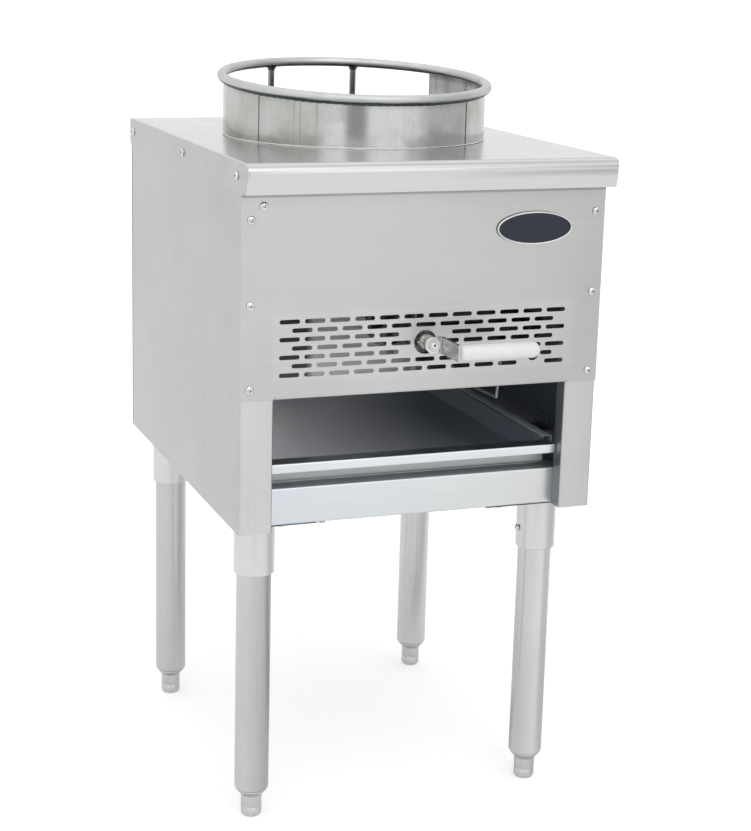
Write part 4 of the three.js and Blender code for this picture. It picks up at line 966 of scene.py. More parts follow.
def top_cover():
    def skin(t):
        """The cover's outside, or its inside at a sheet's thickness."""
        foot = COVER_BOTTOM - t
        side = outline([
            (COVER_REAR - t, foot),
            (COVER_FRONT + LIP_SETBACK + t, foot),
            (COVER_FRONT + t, COVER_TOP - NOSE_RADIUS),
            (COVER_FRONT + t, COVER_TOP - t, NOSE_RADIUS - t),
            (COVER_REAR - t, COVER_TOP - t, 2 - t),
        ], 14)
        front = outline([
            (-COVER_HALF + t, foot - PAST), (-COVER_HALF + t, COVER_TOP - t, 2 - t),
            (COVER_HALF - t, COVER_TOP - t, 2 - t), (COVER_HALF - t, foot - PAST),
        ])
        plan = outline([
            (-COVER_HALF + t, COVER_FRONT + t, COVER_CORNER - t),
            (COVER_HALF - t, COVER_FRONT + t, COVER_CORNER - t),
            (COVER_HALF - t, COVER_REAR + PAST), (-COVER_HALF + t, COVER_REAR + PAST),
        ], 8)
        body = shaped(prism(side, "x", -COVER_HALF - PAST, COVER_HALF + PAST),
                      prism(front, "y", COVER_FRONT - PAST, COVER_REAR + PAST), "INTERSECT")
        return shaped(body, prism(plan, "z", foot - PAST, COVER_TOP + PAST), "INTERSECT")

    opening = lathe([(0, -8), (CHAMBER_RADIUS, -8), (CHAMBER_RADIUS, 8), (0, 8)],
                    (0, RING_BACK, COVER_TOP), "z", 128)
    # the cover's side faces wear the darker side steel: painted shade
    piece("cover_sheet", "cover_steel", shaped(shaped(skin(0), skin(SHEET)), opening), node="top_cover",
          bevel=0.15, others=[
              ("inside_steel", lambda p, n: n.z < -0.7 and p.z > COVER_BOTTOM + 5),
              ("side_steel", lambda p, n: abs(n.x) > 0.8 and abs(p.x) > COVER_HALF - SHEET / 2)])


def side_panel(side, word):
    def x(inset):
        return side * (BODY_HALF - inset)

    wall = folded([
        (x(0), 0, BEND), (x(0), BODY_DEPTH, BEND),
        (x(REAR_FLANGE), BODY_DEPTH), (x(REAR_FLANGE), BODY_DEPTH - SHEET),
        (x(SHEET), BODY_DEPTH - SHEET, BEND - SHEET), (x(SHEET), SHEET, BEND - SHEET),
        (x(FLANGE - SHEET), SHEET, BEND - SHEET), (x(FLANGE - SHEET), RETURN),
        (x(FLANGE), RETURN), (x(FLANGE), 0, BEND),
    ], "z", BODY_BOTTOM, BODY_TOP)
    hem = outline([
        (x(0.02), BODY_BOTTOM, BEND), (x(SHEET + HEM), BODY_BOTTOM), (x(SHEET + HEM), BODY_BOTTOM + SHEET),
        (x(SHEET * 0.9), BODY_BOTTOM + SHEET),
    ])

    def within(p, n):
        facing_in = n.x * side < -0.5 and abs(p.x) > BODY_HALF - REAR_FLANGE
        return facing_in or (n.y > 0.5 and p.y < RETURN - 2) or (n.y < -0.5 and p.y > BODY_DEPTH - 3)

    # inner faces: near-white on the left panel, painted light, and dark on the right one, painted shade; the
    # flanges' fronts wear a lighter copy, painted light, and the returns' inner faces a darker one, painted shade
    piece(f"side_sheet_{word}", "side_steel", wall,
          prism(hem[::-side], "y", RETURN + SEAM, BODY_DEPTH - SHEET / 2),
          node=f"side_panel_{word}", bevel=EDGE, others=[
              (f"{word}_inside_steel", within),
              ("flange_steel", lambda p, n: n.y < -0.8 and p.y < SHEET / 2),
              ("return_steel", lambda p, n: n.x * side < -0.5 and abs(p.x) < BODY_HALF - FLANGE + SHEET / 2)])


def slots_of_row(row, height):
    """The start and end of each slot in a row, cut short or left out beside the round holes."""
    count = SLOTS_IN_ROW - row % 2
    first = -((count - 1) * SLOT_PITCH + SLOT_LENGTH) / 2
    for i in range(count):
        start = first + i * SLOT_PITCH
        end = start + SLOT_LENGTH
        centre = (start + end) / 2
        kept = True
        for across, hole_height, radius in ((0, VALVE_HOLE_HEIGHT, VALVE_HOLE), (*LIGHT_SPOT, LIGHT_HOLE)):
            if abs(height - hole_height) > radius + SLOT_HEIGHT / 2:
                continue
            reach = radius + SLOT_MARGIN
            if abs(centre - across) < reach:
                kept = False
            elif centre < across:
                end = min(end, across - reach)
            else:
                start = max(start, across + reach)
        if kept:
            yield start, end


def front_panel():
    notch = BODY_HALF - FLANGE - SEAM
    cut = notch + 0.8
    bottom, half = WINDOW_TOP, SLOT_HEIGHT / 2
    boundary = outline([
        (-BODY_HALF, bottom), (-cut, bottom), (-cut, bottom + BEND), (cut, bottom + BEND), (cut, bottom),
        (BODY_HALF, bottom), (BODY_HALF, BODY_TOP), (-BODY_HALF, BODY_TOP),
    ])
    holes = [circle(0, VALVE_HOLE_HEIGHT, VALVE_HOLE, 72), circle(*LIGHT_SPOT, LIGHT_HOLE)]
    for row in range(SLOT_ROWS):
        height = TOP_ROW - row * ROW_PITCH
        holes += [rectangle(start, end, height - half, height + half, half - 0.01, 7)
                  for start, end in slots_of_row(row, height)]
    fold = folded([
        (PANEL_FACE, bottom + BEND), (PANEL_FACE, bottom, BEND), (PANEL_FOLD, bottom),
        (PANEL_FOLD, bottom + SHEET), (PANEL_FACE + SHEET, bottom + SHEET, BEND - SHEET),
        (PANEL_FACE + SHEET, bottom + BEND),
    ], "x", -notch, notch)
    piece("front_sheet", "front_steel", plate(boundary, holes, "y", PANEL_FACE, PANEL_FACE + SHEET), fold,
          node="front_panel", sharp=34,
          others=[("inside_steel", lambda p, n: n.y > 0.7 or (n.z > 0.7 and p.y > 2))])


def rear_panel():
    front, back = span("rear_panel", "y")
    boundary = rectangle(-BODY_HALF, BODY_HALF, BODY_BOTTOM, BODY_TOP, 1.5, 4)
    hole = circle(middle("supply_pipe")[0], VALVE_HEIGHT, SUPPLY_HOLE, 64)
    # the inside face is dark over its left part: painted shade
    piece("rear_sheet", "side_steel", plate(boundary, [hole], "y", front, back), node="rear_panel", sharp=34,
          others=[("rear_inside_steel", lambda p, n: n.y < -0.7)])


def rail(name, node, look, inward):
    (_, front, bottom), (half, back, top) = ends(node)

    def y(depth):
        return (front if inward > 0 else back) + inward * depth

    section = [(y(0), bottom, BEND), (y(RAIL_FOOT), bottom), (y(RAIL_FOOT), bottom + SHEET),
               (y(SHEET), bottom + SHEET, BEND - SHEET)]
    if inward > 0:
        section += [(y(SHEET), top - SHEET, BEND - SHEET), (y(RAIL_SHELF), top - SHEET),
                    (y(RAIL_SHELF), top + RAIL_HEM), (y(RAIL_SHELF - SHEET), top + RAIL_HEM),
                    (y(RAIL_SHELF - SHEET), top), (y(0), top, BEND)]
    else:
        section += [(y(SHEET), top), (y(0), top)]

    def within(p, n):
        on_top = n.z > 0.7 and p.z > top - 2 and (p.y - y(0)) * inward > 3
        return n.y * inward > 0.6 or on_top or (n.z < -0.7 and p.z > top - 4)

    # faces toward the inside and under the tray wear a darker copy: painted shade
    piece(name, look, folded(section, "x", -half, half), node=node, bevel=EDGE,
          others=[("ledge_steel", within)])


def base_channel(word):
    node = f"base_channel_{word}"
    (x0, y0, z0), (x1, y1, z1) = ends(node)
    piece(f"channel_{word}", "zinc", folded(u_section(x0, x1, z0, z1, 1.5, 2.5), "y", y0, y1),
          node=node, bevel=EDGE)


def badge():
    (x0, y0, z0), (x1, y1, z1) = ends("badge_plate")
    across, _, up = middle("badge_plate")

    def oval(inset, y, right=0.0, rise=0.0):
        half_x, half_z = (x1 - x0) / 2 - inset, (z1 - z0) / 2 - inset
        return [(across + half_x * cos(t) + right, y, up + half_z * sin(t) + rise) for t in turns(128)]

    rim = [(0, y1), (0, y0 + 0.5), (0.15, y0 + 0.15), (0.6, y0), (1.7, y0), (2.1, y0 + 0.15), (2.3, y0 + 0.6)]
    face = [(2.25, y0 + 0.7), (2.25, y0 + 0.45), (2.5, y0 + 0.32), (5, y0 + 0.22)]
    # a grey oval behind the rim, shifted left and up: a painted drop shadow
    pad = [(0, y1, -0.9, 0.3), (0, y0 + 0.7, -0.9, 0.3), (1, y0 + 0.7, -0.9, 0.3)]
    piece("badge_frame", "badge_rim", loft([oval(*step) for step in rim]), node="badge_plate", sharp=60)
    piece("badge_pad", "pad_rubber", loft([oval(*step) for step in pad]), sharp=60)
    piece("badge_enamel", "badge_enamel", loft([oval(*step) for step in face]), sharp=60)


top_cover()
side_panel(-1, "left")
side_panel(1, "right")
front_panel()
rear_panel()
rail("rail_front", "front_rail", "rail_steel", 1)
rail("rail_rear", "rear_rail", "side_steel", -1)
base_channel("left")
base_channel("right")
badge()


# ---- legs and feet

def leg(word, facing):
    bottom, top = span(f"leg_tube_{word}", "z")
    x, y, _ = middle(f"leg_tube_{word}")
    centre = (x, y, 0)
    out = SOCKET_OUTSIDE
    seat = SOCKET_TOP - 3  # underside of the socket's plate
    sleeve = lathe([
        (SOCKET_INSIDE, SOCKET_BOTTOM), *arc(out - 1.4, SOCKET_BOTTOM + 1.4, 1.4, -90, 0),
        (out, seat + 1), (SOCKET_INSIDE, seat + 1),
    ], centre, "z", 96, closed=True)
    bead = lathe([(out - 0.5, 0.4), (out - 0.5, -3.4), (out + 0.9, -2.2), (out + 2.0, -1.1), (out + 2.8, 0.4)],
                 (x, y, seat), "z", 72, closed=True)
    square = block((x - SOCKET_PLATE, x + SOCKET_PLATE), (y - SOCKET_PLATE, y + SOCKET_PLATE),
                   (seat, SOCKET_TOP), BEND)
    piece(f"socket_{word}", "socket_steel", sleeve, square, node=f"leg_socket_{word}", bevel=0.3, sharp=50)
    piece(f"socket_weld_{word}", "socket_steel", rippled(bead, x, y, 0.28, 26, seat), sharp=80)

    axis = Vector((x, y, SET_SCREW_HEIGHT))
    start = axis + Vector(facing) * (SOCKET_INSIDE + 0.2)
    end = axis + Vector(facing) * (out + 1.6)
    shank = tube([start + (end - start) * k / 2 for k in range(3)], 2.6, 20)
    piece(f"set_screw_shank_{word}", "screw_steel", shank, bevel=0.2)
    screw(f"set_screw_{word}", tuple(end), facing, head=4.2, dome=2.0)

    pipe = lathe([
        (LEG_BORE, bottom), *arc(LEG_RADIUS - 2.2, bottom + 2.2, 2.2, -90, 0), (LEG_RADIUS, top),
        (LEG_RADIUS - LEG_WALL, top), (LEG_RADIUS - LEG_WALL, bottom + LEG_INSERT),
        (LEG_BORE, bottom + LEG_INSERT),
    ], centre, "z", 96, closed=True)
    piece(f"leg_pipe_{word}", f"leg_steel_{word}", pipe, node=f"leg_tube_{word}", bevel=0.2, sharp=50)

    bullet = lathe([
        (0, 0), (7.6, 0), *arc(8, 5, 5, -90, 0, 8), (13, 12), (12.6, 12.6), (12.6, 13.6), (13, 14.2),
        (13, 26.5), *arc(14.2, 27.2, 1.2, 180, 125, 3), (18.6, 34.6), *arc(18.1, 35.6, 1.2, -40, 60, 4),
        (18.0, 37), (6, 37), (6, 95), (0, 95),
    ], centre, "z", 72)
    piece(f"bullet_{word}", "foot_steel", bullet, node=f"foot_{word}", body=f"adjuster_{word}", sharp=50)


leg("front_left", (0, 1, 0))
leg("front_right", (-1, 0, 0))
leg("rear_right", (0, -1, 0))
leg("rear_left", (1, 0, 0))


# ---- drip tray and runners

def drip_tray():
    def loop(inset, z):
        flat = rectangle(-TRAY_HALF + inset, TRAY_HALF - inset, TRAY_FRONT + inset, TRAY_BACK - inset,
                         max(0.5, 4.0 - inset), 8)
        return [(p.x, p.y, z) for p in flat]

    def shell(t, angles):
        """The rounded foot of the outside, or of the inside at a sheet's thickness."""
        return [loop(t + (TRAY_BEND - t) * (1 - sin(turn)),
                     TRAY_BOTTOM + t + (TRAY_BEND - t) * (1 - cos(turn))) for turn in angles]

    pan = loft([*shell(0, sweep(0, 90, 5)), loop(0, TRAY_TOP), loop(SHEET, TRAY_TOP),
                *shell(SHEET, sweep(90, 0, 5))])
    gap = block((-TRAY_HALF - 1, TRAY_HALF + 1), (TRAY_BACK - 4, TRAY_BACK + 1),
                (TRAY_BOTTOM + TRAY_REAR_WALL, TRAY_TOP + 1))
    # the front wall's outer face, under the lip, wears a darker copy: painted shade
    piece("tray_pan", "pan_steel", shaped(pan, gap), node="drip_tray", body="tray", bevel=0.15,
          others=[("tray_wall_steel", lambda p, n: n.y < -0.6 and p.y < TRAY_FRONT + SHEET / 2)])

    foot = TRAY_TOP - LIP_HEIGHT
    lip = folded([
        (TRAY_FRONT + 0.4, TRAY_TOP), (LIP_FRONT, TRAY_TOP, BEND), (LIP_FRONT, foot, 2),
        (LIP_FRONT + LIP_HEM, foot), (LIP_FRONT + LIP_HEM, foot + SHEET),
        (LIP_FRONT + SHEET, foot + SHEET, 0.8), (LIP_FRONT + SHEET, TRAY_TOP - SHEET, BEND - SHEET),
        (TRAY_FRONT + 0.4, TRAY_TOP - SHEET),
    ], "x", -LIP_HALF - 1, LIP_HALF + 1, 8)
    rounded = folded([
        (-LIP_HALF, foot - 0.01, 4), (LIP_HALF, foot - 0.01, 4), (LIP_HALF, TRAY_TOP + 1),
        (-LIP_HALF, TRAY_TOP + 1),
    ], "y", LIP_FRONT - 2, TRAY_FRONT + 2)
    piece("tray_lip", "tray_steel", shaped(lip, rounded, "INTERSECT"), body="tray", bevel=0.12)


def tray_runner(side, word):
    node = f"tray_runner_{word}"
    (_, front, _), (_, back, top) = ends(node)
    web = TRAY_HALF + RUNNER_GAP
    ledge = TRAY_BOTTOM - SEAM
    skirt = TRAY_TOP - RUNNER_SKIRT

    def x(out):
        return side * (web + out)

    channel = folded([
        (x(-RUNNER_LEDGE), ledge - SHEET), (x(SHEET), ledge - SHEET, 2), (x(SHEET), TRAY_TOP - SHEET, 0.8),
        (x(RUNNER_TOP - SHEET), TRAY_TOP - SHEET, 0.8), (x(RUNNER_TOP - SHEET), skirt), (x(RUNNER_TOP), skirt),
        (x(RUNNER_TOP), TRAY_TOP, 2), (x(0), TRAY_TOP, 2), (x(0), ledge, 0.8), (x(-RUNNER_LEDGE), ledge),
    ], "y", front, back)
    wall = side * (BODY_HALF - SHEET - SEAM)
    inner = x(RUNNER_TOP - SHEET / 2)
    tabs = [folded([
        (inner, skirt), (wall, skirt, 2), (wall, top), (wall - side * SHEET, top),
        (wall - side * SHEET, skirt + SHEET, 0.8), (inner, skirt + SHEET),
    ], "y", y, y + RUNNER_TAB) for y in (front + TAB_FROM_FRONT, back - TAB_FROM_BACK)]
    # the right runner's outer side wears the right panel's dark inside steel: painted shade
    piece(f"runner_{word}", "runner_steel", channel, *tabs, node=node, bevel=EDGE,
          others=[("right_inside_steel", lambda p, n: p.x > web + RUNNER_TOP + 0.2)])


drip_tray()
tray_runner(-1, "left")
tray_runner(1, "right")


# ---- wok ring

WALL_START = -(180 - OPENING_HALF - OPENING_TURN)
WALL_END = 180 - OPENING_HALF + OPENING_TURN


def on_ring(angle, radius):
    """A point in plan, by the angle from the front, positive toward the right."""
    turn = radians(angle)
    return radius * sin(turn), RING_BACK - radius * cos(turn)


def under_rim(y, drop):
    return RIM_HEIGHT + (y - RING_BACK) * tan(RIM_TILT) - drop / cos(RIM_TILT)


def along_wall(steps, margin=0.0):
    """Angles along the wall, from its left end to its right one."""
    start, end = WALL_START + margin, WALL_END - margin
    return [start + (end - start) * k / steps for k in range(steps + 1)]


def ring_wall():
    base = COVER_TOP + SEAM
    loops = []
    for angle in along_wall(240):
        outer, inner = on_ring(angle, WALL_RADIUS), on_ring(angle, WALL_RADIUS - RING_WALL)
        loops.append([(*outer, base), (*outer, under_rim(outer[1], RIM_BAR - 2)),
                      (*inner, under_rim(inner[1], RIM_BAR - 2)), (*inner, base)])

    def inward(p, n):
        return n.x * p.x + n.y * (p.y - RING_BACK) < 0 and abs(n.z) < 0.5

    piece("ring_sheet", "ring_wall_steel", loft(loops), node="ring_wall", body=RING, bevel=0.2,
          others=[("ring_inside_steel", inward)])
    # the wall's lower edge, rolled over to a thin bright bead
    path = [(*on_ring(angle, WALL_RADIUS + 0.1), base + 0.7) for angle in along_wall(160, 0.4)]
    piece("ring_foot", "ring_foot_steel", tube(path, 0.65, 10), body=RING, sharp=60)


def ring_seam(word, angle, width, proud=0.35):
    """An upright joint line on the wall's outside."""
    half = degrees(width / 2 / WALL_RADIUS)
    foot, top = COVER_TOP + SEAM + 0.4, under_rim(on_ring(angle, WALL_RADIUS)[1], RIM_BAR)
    loops = []
    for k in range(13):
        share = k / 12
        reach = half * (1 + 0.12 * sin(17 * share))
        section = [(-reach, -0.4), (-reach, proud * 0.5), (0, proud), (reach, proud * 0.5), (reach, -0.4)]
        z = foot + share * (top - COVER_TOP - 1.6)
        loops.append([(*on_ring(angle + turn, WALL_RADIUS + out), z) for turn, out in section])
    piece(f"ring_seam_{word}", "seam_steel", loft(loops), body=RING, sharp=60)


def ring_rim():
    path = []
    for turn in turns(192):
        x, y = RIM_RADIUS * sin(turn), -RIM_RADIUS * cos(turn)
        path.append((x, RING_BACK + y * cos(RIM_TILT), RIM_HEIGHT + y * sin(RIM_TILT)))
    piece("ring_bar", "ring_bar_steel", tube(path, RIM_BAR, 32, closed=True), node="ring_rim",
          body=RING, sharp=60)
    piece("ring_bar_weld", "ring_bar_steel", tube(path[112:115], RIM_BAR + 0.15, 32), body=RING,
          bevel=0.3)


def ring_weld():
    """The bead between the wall's top and the rim bar, rippled as it was laid."""
    path = []
    for angle in along_wall(300, 0.5):
        x, y = on_ring(angle, WALL_RADIUS + 0.5)
        path.append((x, y, under_rim(y, RIM_BAR + 0.1)))
    bead = tube(path, lambda share: 1.35 + 0.22 * sin(430 * share) + 0.15 * sin(61 * share), 12)
    piece("ring_weld", "weld_steel", bead, body=RING, sharp=80)


def ring_post(word):
    node = f"ring_post_{word}"
    (x0, _, foot), (x1, _, _) = ends(node)
    x, y, _ = middle(node)
    r = (x1 - x0) / 2
    top = under_rim(y, RIM_BAR) + 1.5
    shaft = lathe([(0, foot), (r - 0.4, foot), (r, foot + 0.5), (r, top - 1), (0, top)], (x, y, 0), "z", 32)
    fillet = lathe([(r - 0.2, -6), (r + 0.2, -5.2), (r + 0.9, -3.4), (r + 2.1, -2), (r + 2.7, -0.4), (0, 0)],
                   (x, y, top), "z", 28)
    piece(f"post_{word}", "post_steel", shaft, node=node, body=RING, sharp=50)
    piece(f"post_weld_{word}", "weld_steel", rippled(fillet, x, y, 0.35, 5), body=RING, sharp=70)


ring_wall()
ring_seam("left", -63.6, 1.5)
ring_seam("right", 35.7, 2.4)
ring_rim()
ring_weld()
ring_post("left")
ring_post("right")


# ---- burner

BURNER_AXIS = (0, RING_BACK, 0)
VALVE_AXIS = (0, 0, VALVE_HEIGHT)


def burner_chamber():
    (_, _, foot), (rim, _, top) = ends("burner_chamber")
    cone_top = foot + CHAMBER_CONE
    shell = lathe([
        *arc(CHAMBER_RADIUS + 3, top - 3, 3, 180, 90, 5), (rim, top), (rim, top - 1.5),
        *arc(CHAMBER_RADIUS + 3, top - 3, 1.5, 90, 180, 4), (CHAMBER_RADIUS + 1.5, cone_top),
        (CHAMBER_FOOT + 1.5, foot), (CHAMBER_FOOT, foot), (CHAMBER_RADIUS, cone_top),
    ], BURNER_AXIS, "z", 128, closed=True)
    piece("chamber", "chamber_steel", shell, node="burner_chamber", bevel=0.3, sharp=25)


def burner_head():
    """A cast three-ring jet burner: a bowl with ring walls and rows of flame ports."""
    (_, _, foot), (radius, _, top) = ends("burner_head")
    seat = top - BURNER_DEPTH
    walls = [(0.5, 0), (0.56, 0.02), (0.9, 0.36), (0.97, 0.44), (1, 0.52), (1, 0.8), (0.985, 0.88),
             (0.94, 0.92), (0.74, 0.92), (0.72, 0.9), (0.69, 0.75), (0.66, 0.74), (0.62, 0.74), (0.6, 0.76),
             (0.575, 0.94), (0.56, 0.96), (0.41, 0.96), (0.39, 0.94), (0.365, 0.79), (0.35, 0.78),
             (0.29, 0.78), (0.275, 0.8), (0.25, 0.98), (0.23, 1)]
    body = lathe([(0, foot), (27, foot), (28, foot + 1), (28, seat),
                  *((radius * share, seat + BURNER_DEPTH * rise) for share, rise in walls), (0, top)],
                 BURNER_AXIS, "z", 96)
    jets = []
    for share, count, rise in ((0.84, 28, 0.92), (0.485, 16, 0.96), (0.13, 5, 1.0)):
        port = seat + BURNER_DEPTH * rise
        jets += [lathe([(1.2, port - 0.4), (3.2, port - 0.4), (3.2, port - 0.02), (1.2, port - 0.02)],
                       (x, y, 0), "z", 12, closed=True)
                 for x, y in circle(0, RING_BACK, radius * share, count)]
    piece("burner", "iron", body, node="burner_head")
    piece("burner_jets", "brass", *jets)


def burner_bracket():
    (x0, y0, z0), (x1, y1, z1) = ends("burner_bracket")
    strap = folded(u_section(x0, x1, z1, z0, 2, 3), "y", y0, y1)
    bore = lathe([(0, -9), (29, -9), (29, 9), (0, 9)], (0, RING_BACK, z1), "z", 72)
    piece("burner_strap", "zinc", shaped(strap, bore), node="burner_bracket", bevel=EDGE)


def mixing_tube():
    (_, mouth, _), (_, _, top) = ends("mixing_tube")
    cone = mouth + MIXER_CONE
    path = bent_path([(0, cone - 0.5, VALVE_HEIGHT), (0, RING_BACK, VALVE_HEIGHT), (0, RING_BACK, top)],
                     MIXER_BEND, 16)
    bell = lathe([
        (0, mouth + 2), (29, mouth + 2), (29, mouth), (32, mouth), (32, mouth + 3), (30.5, mouth + 5),
        (20.5, cone - 2), (MIXER_RADIUS, cone + 2), (0, cone + 2),
    ], VALVE_AXIS, "y")
    collar = lathe([(0, -12), (25.4, -12), (26, -11.4), (26, -0.6), (25.4, 0), (0, 0)],
                   (0, RING_BACK, top), "z", 48)
    piece("mixer", "iron", tube(path, MIXER_RADIUS, 48), bell, collar, node="mixing_tube")


def orifice_hood():
    front, back = span("orifice_hood", "y")
    barrel = lathe([(0, front), (6.6, front), (7, front + 0.4), (7, back - 5), (4.4, back - 0.3), (4.2, back),
                    (0, back)], VALVE_AXIS, "y", 40)
    hexagon = lathe([(0, 0), (9.3, 0), (9.8, 0.5), (9.8, 15.5), (9.3, 16), (0, 16)],
                    (0, front, VALVE_HEIGHT), "y", 6)
    piece("hood", "brass", barrel, hexagon, node="orifice_hood", bevel=0.3, sharp=40)


def air_shutter():
    """A disc with a bore, four curved air slots and a tongue to turn it by."""
    front, back = span("air_shutter", "y")
    foot = span("air_shutter", "z")[0]

    def curve(radius, start, end, steps):
        return [(radius * sin(t), VALVE_HEIGHT + radius * cos(t)) for t in sweep(start, end, steps)]

    holes = [circle(0, VALVE_HEIGHT, 7.6)]
    for quarter in (0, 90, 180, 270):
        holes.append(curve(27, quarter - 21, quarter + 21, 8) + curve(11, quarter - 21, quarter + 21, 8)[::-1])
    edge = curve(SHUTTER_RADIUS, 189, 531, 96) + [(5, foot), (-5, foot)]
    piece("shutter_disc", "zinc", plate(edge, holes, "y", front, back), node="air_shutter", body="shutter",
          bevel=0.15)


burner_chamber()
burner_head()
burner_bracket()
mixing_tube()
orifice_hood()
air_shutter()


# ---- gas valve and lever

def gas_valve():
    front = span("gas_valve", "y")[0]
    cone = lathe([
        (0, 22), (15.5, 22), (17, 23.5), (17, 34), (16.4, 35), (16.4, 51), (17, 52), (17, 62.5), (15.5, 64),
        (11, 64), (11, 80), (0, 80),
    ], VALVE_AXIS, "y", 56)
    nut = lathe([(9, 12), (12.2, 12), (13, 12.8), (13, 21.2), (12.2, 22), (9, 22)], VALVE_AXIS, "y", 6,
                closed=True)
    inlet = lathe([(0, 0), (14, 0), (14, 26), (13.2, 27), (13.2, 29), (14, 30), (14, 39.5), (13.2, 40), (0, 40)],
                  (0, PIPE_DEPTH, VALVE_HEIGHT), "x", 48)
    piece("valve_cast", "valve_metal", cone, nut, inlet, node="gas_valve", bevel=0.25, sharp=40)
    bonnet = lathe([
        (5.3, front), (8.3, front), (9, front + 0.7), (9, front + 5), (8.7, front + 5.4), (8.7, front + 6.4),
        (9, front + 6.8), (9, 22), (5.3, 22),
    ], VALVE_AXIS, "y", closed=True)
    piece("valve_bonnet", "bonnet_steel", bonnet)
    washer = lathe([(9.4, 9.6), (16.4, 9.6), (16.9, 10.1), (16.9, 11.8), (9.4, 11.8)], VALVE_AXIS, "y",
                   closed=True)
    piece("valve_washer", "valve_metal", washer, bevel=0.2, sharp=40)
    front, back = span("valve_stem", "y")
    stem = lathe([(0, front), (4.7, front), (5, front + 0.3), (5, back - 0.5), (4.5, back), (0, back)],
                 VALVE_AXIS, "y", 48)
    piece("stem", "lever_steel", stem, node="valve_stem", body=HANDLE)


def valve_lever():
    """One strip: a round hub end, a fold forward and a fold back along the grip."""
    bottom, top = VALVE_HEIGHT - LEVER_HALF, VALVE_HEIGHT + LEVER_HALF
    hub_back = HUB_FRONT + LEVER_THICKNESS
    tang_front = GRIP_FRONT - LEVER_THICKNESS / 2
    loop = bow(0, VALVE_HEIGHT, HUB_RADIUS, sweep(270, 90, 24))
    loop += [(HUB_RADIUS * 0.5, top), (LEVER_BEND - 3.2, top), (LEVER_BEND - 3.2, bottom),
             (HUB_RADIUS * 0.5, bottom)]
    hub = plate(loop, [circle(0, VALVE_HEIGHT, 1.6, 24)], "y", HUB_FRONT, hub_back)
    arm = folded([
        (LEVER_BEND - 3.3, hub_back), (LEVER_BEND, hub_back, 4.2), (LEVER_BEND, tang_front + 0.01, 0.01),
        (LEVER_BEND - LEVER_THICKNESS, tang_front, 1.2), (LEVER_BEND - LEVER_THICKNESS, HUB_FRONT, 1.2),
        (LEVER_BEND - 3.3, HUB_FRONT),
    ], "z", bottom, top, 8)
    tang = block((LEVER_BEND - 1, 98), (tang_front, tang_front + LEVER_THICKNESS),
                 (VALVE_HEIGHT - 5.5, VALVE_HEIGHT + 5.5))
    # the fold's left-facing faces wear a darker copy, painted shade; its top edges a dark one
    piece("lever_strip", "lever_steel", hub, arm, tang, node="valve_lever", body=HANDLE, bevel=0.3, sharp=40,
          others=[("lever_side_steel", lambda p, n: n.x < -0.6 and p.x > HUB_RADIUS * 0.6),
                  ("lever_edge_steel", lambda p, n: n.z > 0.7 and p.x > HUB_RADIUS * 0.6)])
    dish = [(0, 0.3), (9.6, 0.3), (9.6, -0.3), (9.1, -0.85), (8.2, -1.0), (7.2, -0.8), (5.9, -0.5),
            (5.2, -0.55), (4.5, -0.5), (4.1, -0.3), (0, -0.25)]
    piece("hub_dish", "hub_steel", lathe(dish, (0, HUB_FRONT, VALVE_HEIGHT), "y"), body=HANDLE, sharp=35)
    screw("hub_screw", (0, HUB_FRONT - SEAM, VALVE_HEIGHT), (0, -1, 0), "lever_screw", head=3.2, dome=1.6,
          body=HANDLE)


def lever_grip():
    start, end, r = GRIP_START, GRIP_END, GRIP_RADIUS
    profile = [(4, start), (r - 4.2, start), *arc(r - 4, start + 3.4, 3.4, -90, -8, 8), (r - 0.45, start + 5),
               (r, start + 14), (r - 0.05, start + 50), *arc(1, end - (r - 1), r - 1, 0, 90, 12), (0, end)]
    piece("grip", "grip_plastic", lathe(profile, (0, GRIP_FRONT, VALVE_HEIGHT), "x", 72), node="lever_grip",
          body=HANDLE, sharp=45)
    parting = []
    for side in (-1, 1):
        z = VALVE_HEIGHT + side * (r - 0.02)
        parting.append(tube([(start + 2.5, GRIP_FRONT, z), (end - r, GRIP_FRONT, z)], 0.09, 8))
    piece("grip_parting", "grip_plastic", *parting, body=HANDLE, sharp=34)


gas_valve()
valve_lever()
lever_grip()


# ---- gas pipes and pilot

def band(start, end, centre, axis):
    """A thickened end of the elbow."""
    return lathe([(0, start), (16, start), (17, start + 1), (17, end - 1), (16, end), (0, end)], centre, axis, 48)


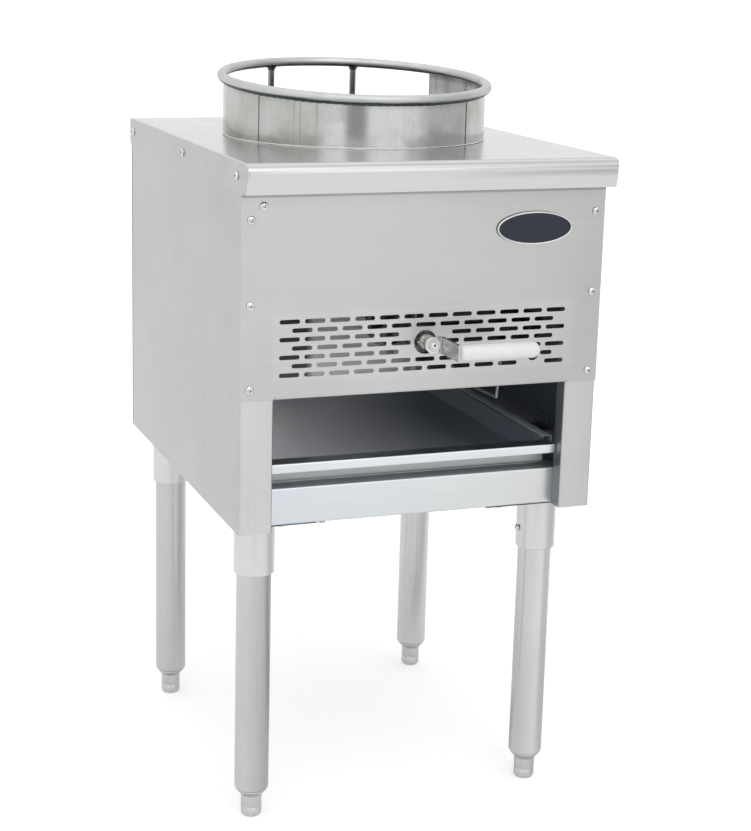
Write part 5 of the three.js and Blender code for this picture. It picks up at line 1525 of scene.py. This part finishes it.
def pipes():
    (x0, y0, _), (x1, y1, _) = ends("cross_pipe")
    radius = (y1 - y0) / 2
    across = lathe([(radius - 2.6, x0), (radius - 0.8, x0), (radius, x0 + 0.8), (radius, x1 - 0.8),
                    (radius - 0.8, x1), (radius - 2.6, x1)], (0, PIPE_DEPTH, VALVE_HEIGHT), "x", 56, closed=True)
    piece("pipe_across", "black_pipe", across, node="cross_pipe")

    supply = middle("supply_pipe")[0]
    left, back = supply - ELBOW_REACH, PIPE_DEPTH + ELBOW_REACH
    path = bent_path([(left, PIPE_DEPTH, VALVE_HEIGHT), (supply, PIPE_DEPTH, VALVE_HEIGHT),
                      (supply, back, VALVE_HEIGHT)], ELBOW_BEND, 14)
    piece("elbow", "black_pipe", tube(path, ELBOW_RADIUS, 40),
          band(left, left + ELBOW_BAND, (0, PIPE_DEPTH, VALVE_HEIGHT), "x"),
          band(back - ELBOW_BAND, back, (supply, 0, VALVE_HEIGHT), "y"), node="pipe_elbow")

    front, back = span("supply_pipe", "y")
    thread = []
    for k in range(THREAD_TURNS):
        y = back - 1.2 - k * THREAD_PITCH
        thread += [(PIPE_RADIUS - 0.1, y), (PIPE_RADIUS - 0.9, y - 0.9)]
    long_pipe = lathe([(PIPE_BORE, back), (PIPE_RADIUS - 1.2, back), *thread, (PIPE_RADIUS, back - 20),
                       (PIPE_RADIUS, front + 0.6), (PIPE_RADIUS - 0.6, front), (PIPE_BORE, front)],
                      (supply, 0, VALVE_HEIGHT), "y", closed=True)
    piece("pipe_supply", "black_pipe", long_pipe, node="supply_pipe", sharp=30)

    (_, y0, z0), (x1, y1, z1) = ends("pipe_bracket")
    clamp = lathe([(13.65, y0), (16.2, y0), (16.65, y0 + 0.5), (16.65, y1 - 0.5), (16.2, y1), (13.65, y1)],
                  (supply, 0, VALVE_HEIGHT), "y", 56, closed=True)
    arm = block((supply + 15.5, x1), (y0, y1), (VALVE_HEIGHT - 1.5, VALVE_HEIGHT + 1.5))
    ear = block((x1 - 3, x1), (y0, y1), (z0, z1), 1)
    piece("pipe_clamp", "zinc", clamp, arm, ear, node="pipe_bracket", bevel=0.3, sharp=40)


def pilot():
    (x0, y0, z0), (x1, y1, z1) = ends("pilot_valve")
    x, y, _ = middle("pilot_valve")
    body = block((x0, x1), (y0, y1), (z0 + 6, z1), 1.6)
    nut = lathe([(0, 1.2), (4.6, 1.2), (5, 1.7), (5, 5.6), (4.6, 6), (0, 6)], (x, y, z0), "z", 6)
    nipple = lathe([(0, 0), (3.4, 0), (3.8, 0.5), (3.8, 6), (0, 6)], (x, y, z0), "z", 32)
    adjuster = lathe([(0, -1.2), (3.4, -1.2), (3.8, -0.8), (3.8, 0.5), (0, 0.5)], (x, y0, z0 + 17), "y", 32)
    piece("pilot_cock", "brass", body, nut, nipple, adjuster, node="pilot_valve", bevel=0.25, sharp=40)
    run = x + PILOT_LEAN
    route = bent_path([(x, y, z0 - SEAM), (run, y, PILOT_LOW), (run, PILOT_RUN, PILOT_LOW),
                       PILOT_TIP - Vector((0, 0, 40)), PILOT_TIP - Vector((0, 0, SEAM))], PILOT_BEND)
    piece("pilot_line", "pilot_steel", tube(route, PILOT_RADIUS, 20), node="pilot_tube", sharp=60)
    (x0, _, _), (x1, y1, top) = ends("pilot_burner")
    x, y, base = PILOT_TIP
    rise = top - base
    barrel = lathe([
        (0, 0), (3.2, 0), (3.2, 3), (4.2, 3.6), (4.2, rise - 14), (3.4, rise - 13), (3.4, rise - 9),
        (4.2, rise - 8), (4.2, rise - 0.6), (3.7, rise), (2.6, rise), (2.6, rise - 5), (0, rise - 5),
    ], PILOT_TIP, "z", 32)
    strap = block((x0, x1), (y, y1), (base, base + SHEET), 0.6)
    piece("pilot_jet", "brass", barrel, strap, node="pilot_burner")


pipes()
pilot()
